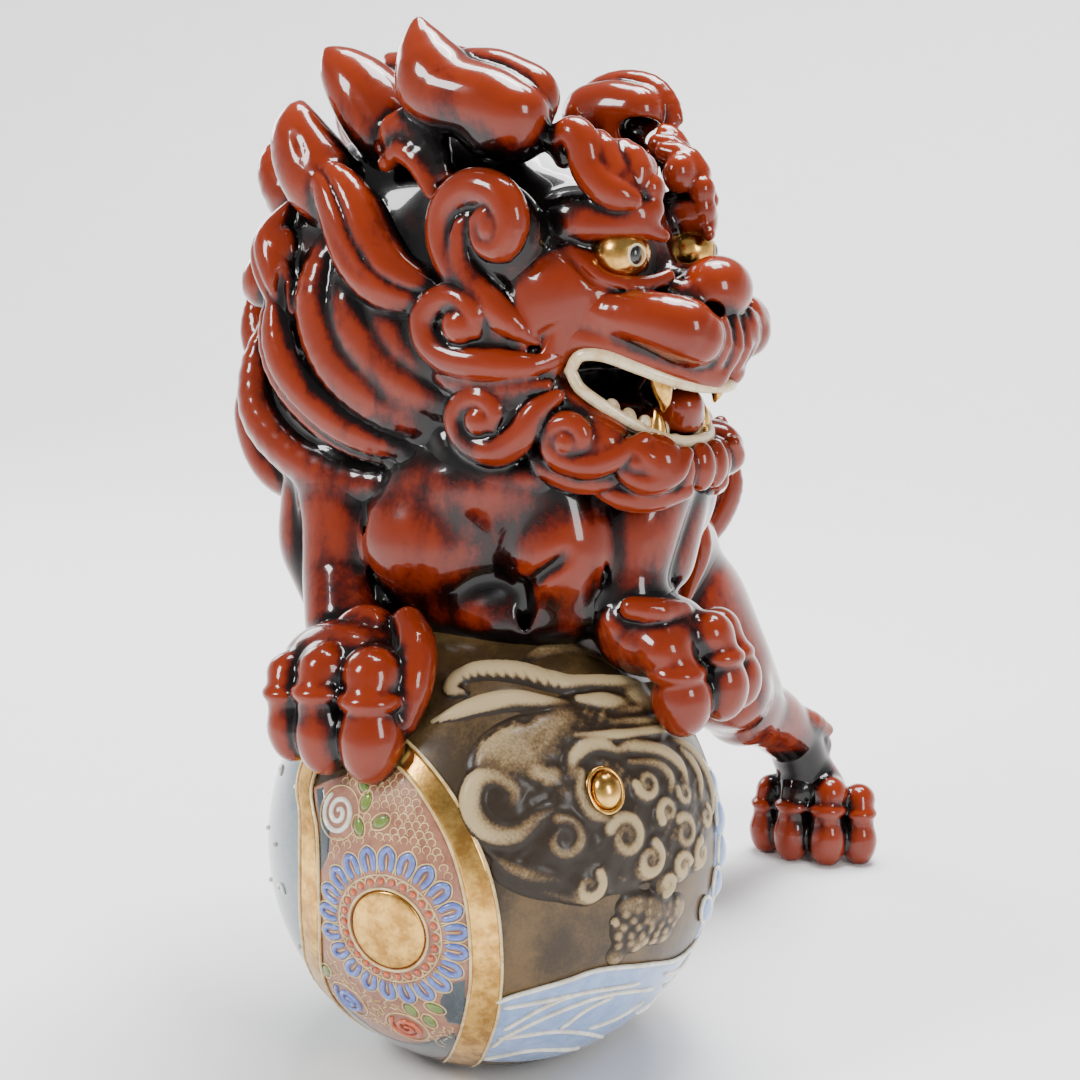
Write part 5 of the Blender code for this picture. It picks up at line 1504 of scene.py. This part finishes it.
def make_stage(settings):
    """A round pale sweep of paper z = 0.3 max(r - 0.9, 0)2, soft lamps from each side and above, and the camera."""
    side = np.linspace(-3.2, 3.2, 129)
    y, x = np.meshgrid(side, side, indexing="ij")
    z = 0.3 * np.maximum(np.hypot(x, y) - 0.9, 0) ** 2
    points = np.stack([x, y, z - 0.0004], -1).reshape(-1, 3)
    faces = grid_faces(len(side), len(side))
    mesh = bpy.data.meshes.new("paper_sweep")
    mesh.from_pydata(points.tolist(), [], faces.tolist())
    mesh.polygons.foreach_set("use_smooth", np.ones(len(faces), bool))
    floor = bpy.data.objects.new("paper_sweep", mesh)
    bpy.context.scene.collection.objects.link(floor)
    f = Finish("pale_paper", Roughness=0.9)
    mesh.materials.append(f.feed(Base_Color=f.mix(f.noise(40, 2), (0.84, 0.84, 0.84), (0.87, 0.87, 0.87))))
    world = bpy.data.worlds.new("studio")
    bpy.context.scene.world = world
    world.use_nodes = True
    background = world.node_tree.nodes["Background"]
    background.inputs["Color"].default_value = (0.93, 0.96, 1.0, 1)
    background.inputs["Strength"].default_value = settings.room_light
    lamps = [(*lamp[:4], settings.key_light * lamp[4]) for lamp in LAMPS] + [(*PAPER_LAMP, settings.paper_light)]
    for name, at, aim, size, power in lamps:
        lamp = bpy.data.lights.new(name, "AREA")
        lamp.shape, lamp.size, lamp.size_y, lamp.energy = "RECTANGLE", *size, power
        put_in_scene(name, lamp, at, aim)
    lens = bpy.data.cameras.new("camera")
    lens.lens, lens.sensor_width = LENS, SENSOR_WIDTH
    bpy.context.scene.camera = put_in_scene("camera", lens, CAMERA_AT, CAMERA_AIM)


# ---------------------------------------------------------------- add-on


class LionSizes(bpy.types.PropertyGroup):
    """How finely the lion is modelled, and the colours of its glaze."""

    cell: bpy.props.FloatProperty(name="Clay step", description="Step of the block that the clay is modelled in",
            default=0.00096, min=0.0005, max=0.003, unit="LENGTH", subtype="DISTANCE", precision=4)
    red: bpy.props.FloatVectorProperty(name="Vermilion", description="Glaze left on what stands proud", size=3,
            default=(0.195, 0.0205, 0.004), subtype="COLOR")
    deep: bpy.props.FloatVectorProperty(name="Deep red", description="Glaze where the red thins out", size=3,
            default=(0.075, 0.0055, 0.002), subtype="COLOR")
    black: bpy.props.FloatVectorProperty(name="Black", description="Glaze that pools in the hollows", size=3,
            default=(0.0025, 0.0015, 0.0015), subtype="COLOR")


class StageSizes(bpy.types.PropertyGroup):
    """Light on the stage."""

    room_light: bpy.props.FloatProperty(name="Room light", description="Strength of the even light from all round",
            default=0.3)
    key_light: bpy.props.FloatProperty(name="Main light", description="Power of the main lamp", default=11.0,
            unit="POWER")
    paper_light: bpy.props.FloatProperty(name="Paper light", description="Power of the lamp on the paper behind",
            default=110.0, unit="POWER")


state = {}


class GUARDIAN_OT_model_lion(bpy.types.Operator):
    """Lays all strokes of the lion into the clay."""

    bl_idname = "guardian.model_lion"
    bl_label = "Model the lion"

    def execute(self, context):
        cell = context.scene.guardian_lion.cell / MM
        clay = Clay((-108, -82, -4), (95, 230, 328), cell)
        model_torso(clay)
        model_mane(clay)
        model_forelegs(clay)
        model_hind_leg(clay, 1, "left")
        model_hind_leg(clay, -1, "right")
        model_tail(clay)
        model_forepaws(clay)
        model_skull(clay)
        model_nose(clay)
        for place, side in SIDES:
            model_eye_and_brow(clay, place, side)
            model_face_curls(clay, place, side)
            model_ear(clay, place, side)
        clay.own.pop(None, None)
        state["clay"] = clay
        return {"FINISHED"}


class GUARDIAN_OT_fire_lion(bpy.types.Operator):
    """Parts the clay into its pieces and glazes them."""

    bl_idname = "guardian.fire_lion"
    bl_label = "Fire the lion"

    def execute(self, context):
        sizes = context.scene.guardian_lion
        fire(state.pop("clay"), vermilion_glaze(sizes.red, sizes.deep, sizes.black), "vermilion_glaze")
        return {"FINISHED"}


class GUARDIAN_OT_make_face_fittings(bpy.types.Operator):
    """Makes the eyes, the mouth's ivory rim, the teeth and the fangs."""

    bl_idname = "guardian.make_face_fittings"
    bl_label = "Make eyes and teeth"

    def execute(self, context):
        state["paints"] = paints = ball_paints()
        make_mouth(paints)
        make_eyes(paints)
        return {"FINISHED"}


class GUARDIAN_OT_make_ball(bpy.types.Operator):
    """Makes the ball, its painted panels, its trailed enamels and the dragon in relief."""

    bl_idname = "guardian.make_ball"
    bl_label = "Make the ball"

    def execute(self, context):
        make_ball_body(brown_ground((0.032, 0.018, 0.006), (0.12, 0.070, 0.024)))
        paints = state["paints"]
        make_panels(paints)
        make_medallion(paints)
        make_flowers(paints)
        make_dragon(biscuit((0.018, 0.010, 0.004), (0.12, 0.072, 0.03), (0.40, 0.30, 0.155)))
        make_ball_extras(paints)
        return {"FINISHED"}


class GUARDIAN_OT_set_stage(bpy.types.Operator):
    """Lays the paper sweep and sets the lights and the camera."""

    bl_idname = "guardian.set_stage"
    bl_label = "Set the stage"

    def execute(self, context):
        make_stage(context.scene.guardian_stage)
        return {"FINISHED"}


OPERATORS = (GUARDIAN_OT_model_lion, GUARDIAN_OT_fire_lion, GUARDIAN_OT_make_face_fittings, GUARDIAN_OT_make_ball,
        GUARDIAN_OT_set_stage)


class GUARDIAN_PT_panel(bpy.types.Panel):
    """Lists the steps that build the guardian lion."""

    bl_label = "Guardian lion"
    bl_space_type = "VIEW_3D"
    bl_region_type = "UI"
    bl_category = "Guardian lion"

    def draw(self, context):
        for operator in OPERATORS:
            self.layout.operator(operator.bl_idname)


CLASSES = (LionSizes, StageSizes, *OPERATORS, GUARDIAN_PT_panel)


def register():
    """Registers the classes and hangs their settings on the scene."""
    for each in CLASSES:
        bpy.utils.register_class(each)
    bpy.types.Scene.guardian_lion = bpy.props.PointerProperty(type=LionSizes)
    bpy.types.Scene.guardian_stage = bpy.props.PointerProperty(type=StageSizes)


def unregister():
    """Takes the settings and the classes away again."""
    del bpy.types.Scene.guardian_lion, bpy.types.Scene.guardian_stage
    for each in reversed(CLASSES):
        bpy.utils.unregister_class(each)


def main():
    """Registers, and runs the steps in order."""
    register()
    for operator in OPERATORS:
        group, name = operator.bl_idname.split(".")
        getattr(getattr(bpy.ops, group), name)()


if __name__ == "__main__":
    main()
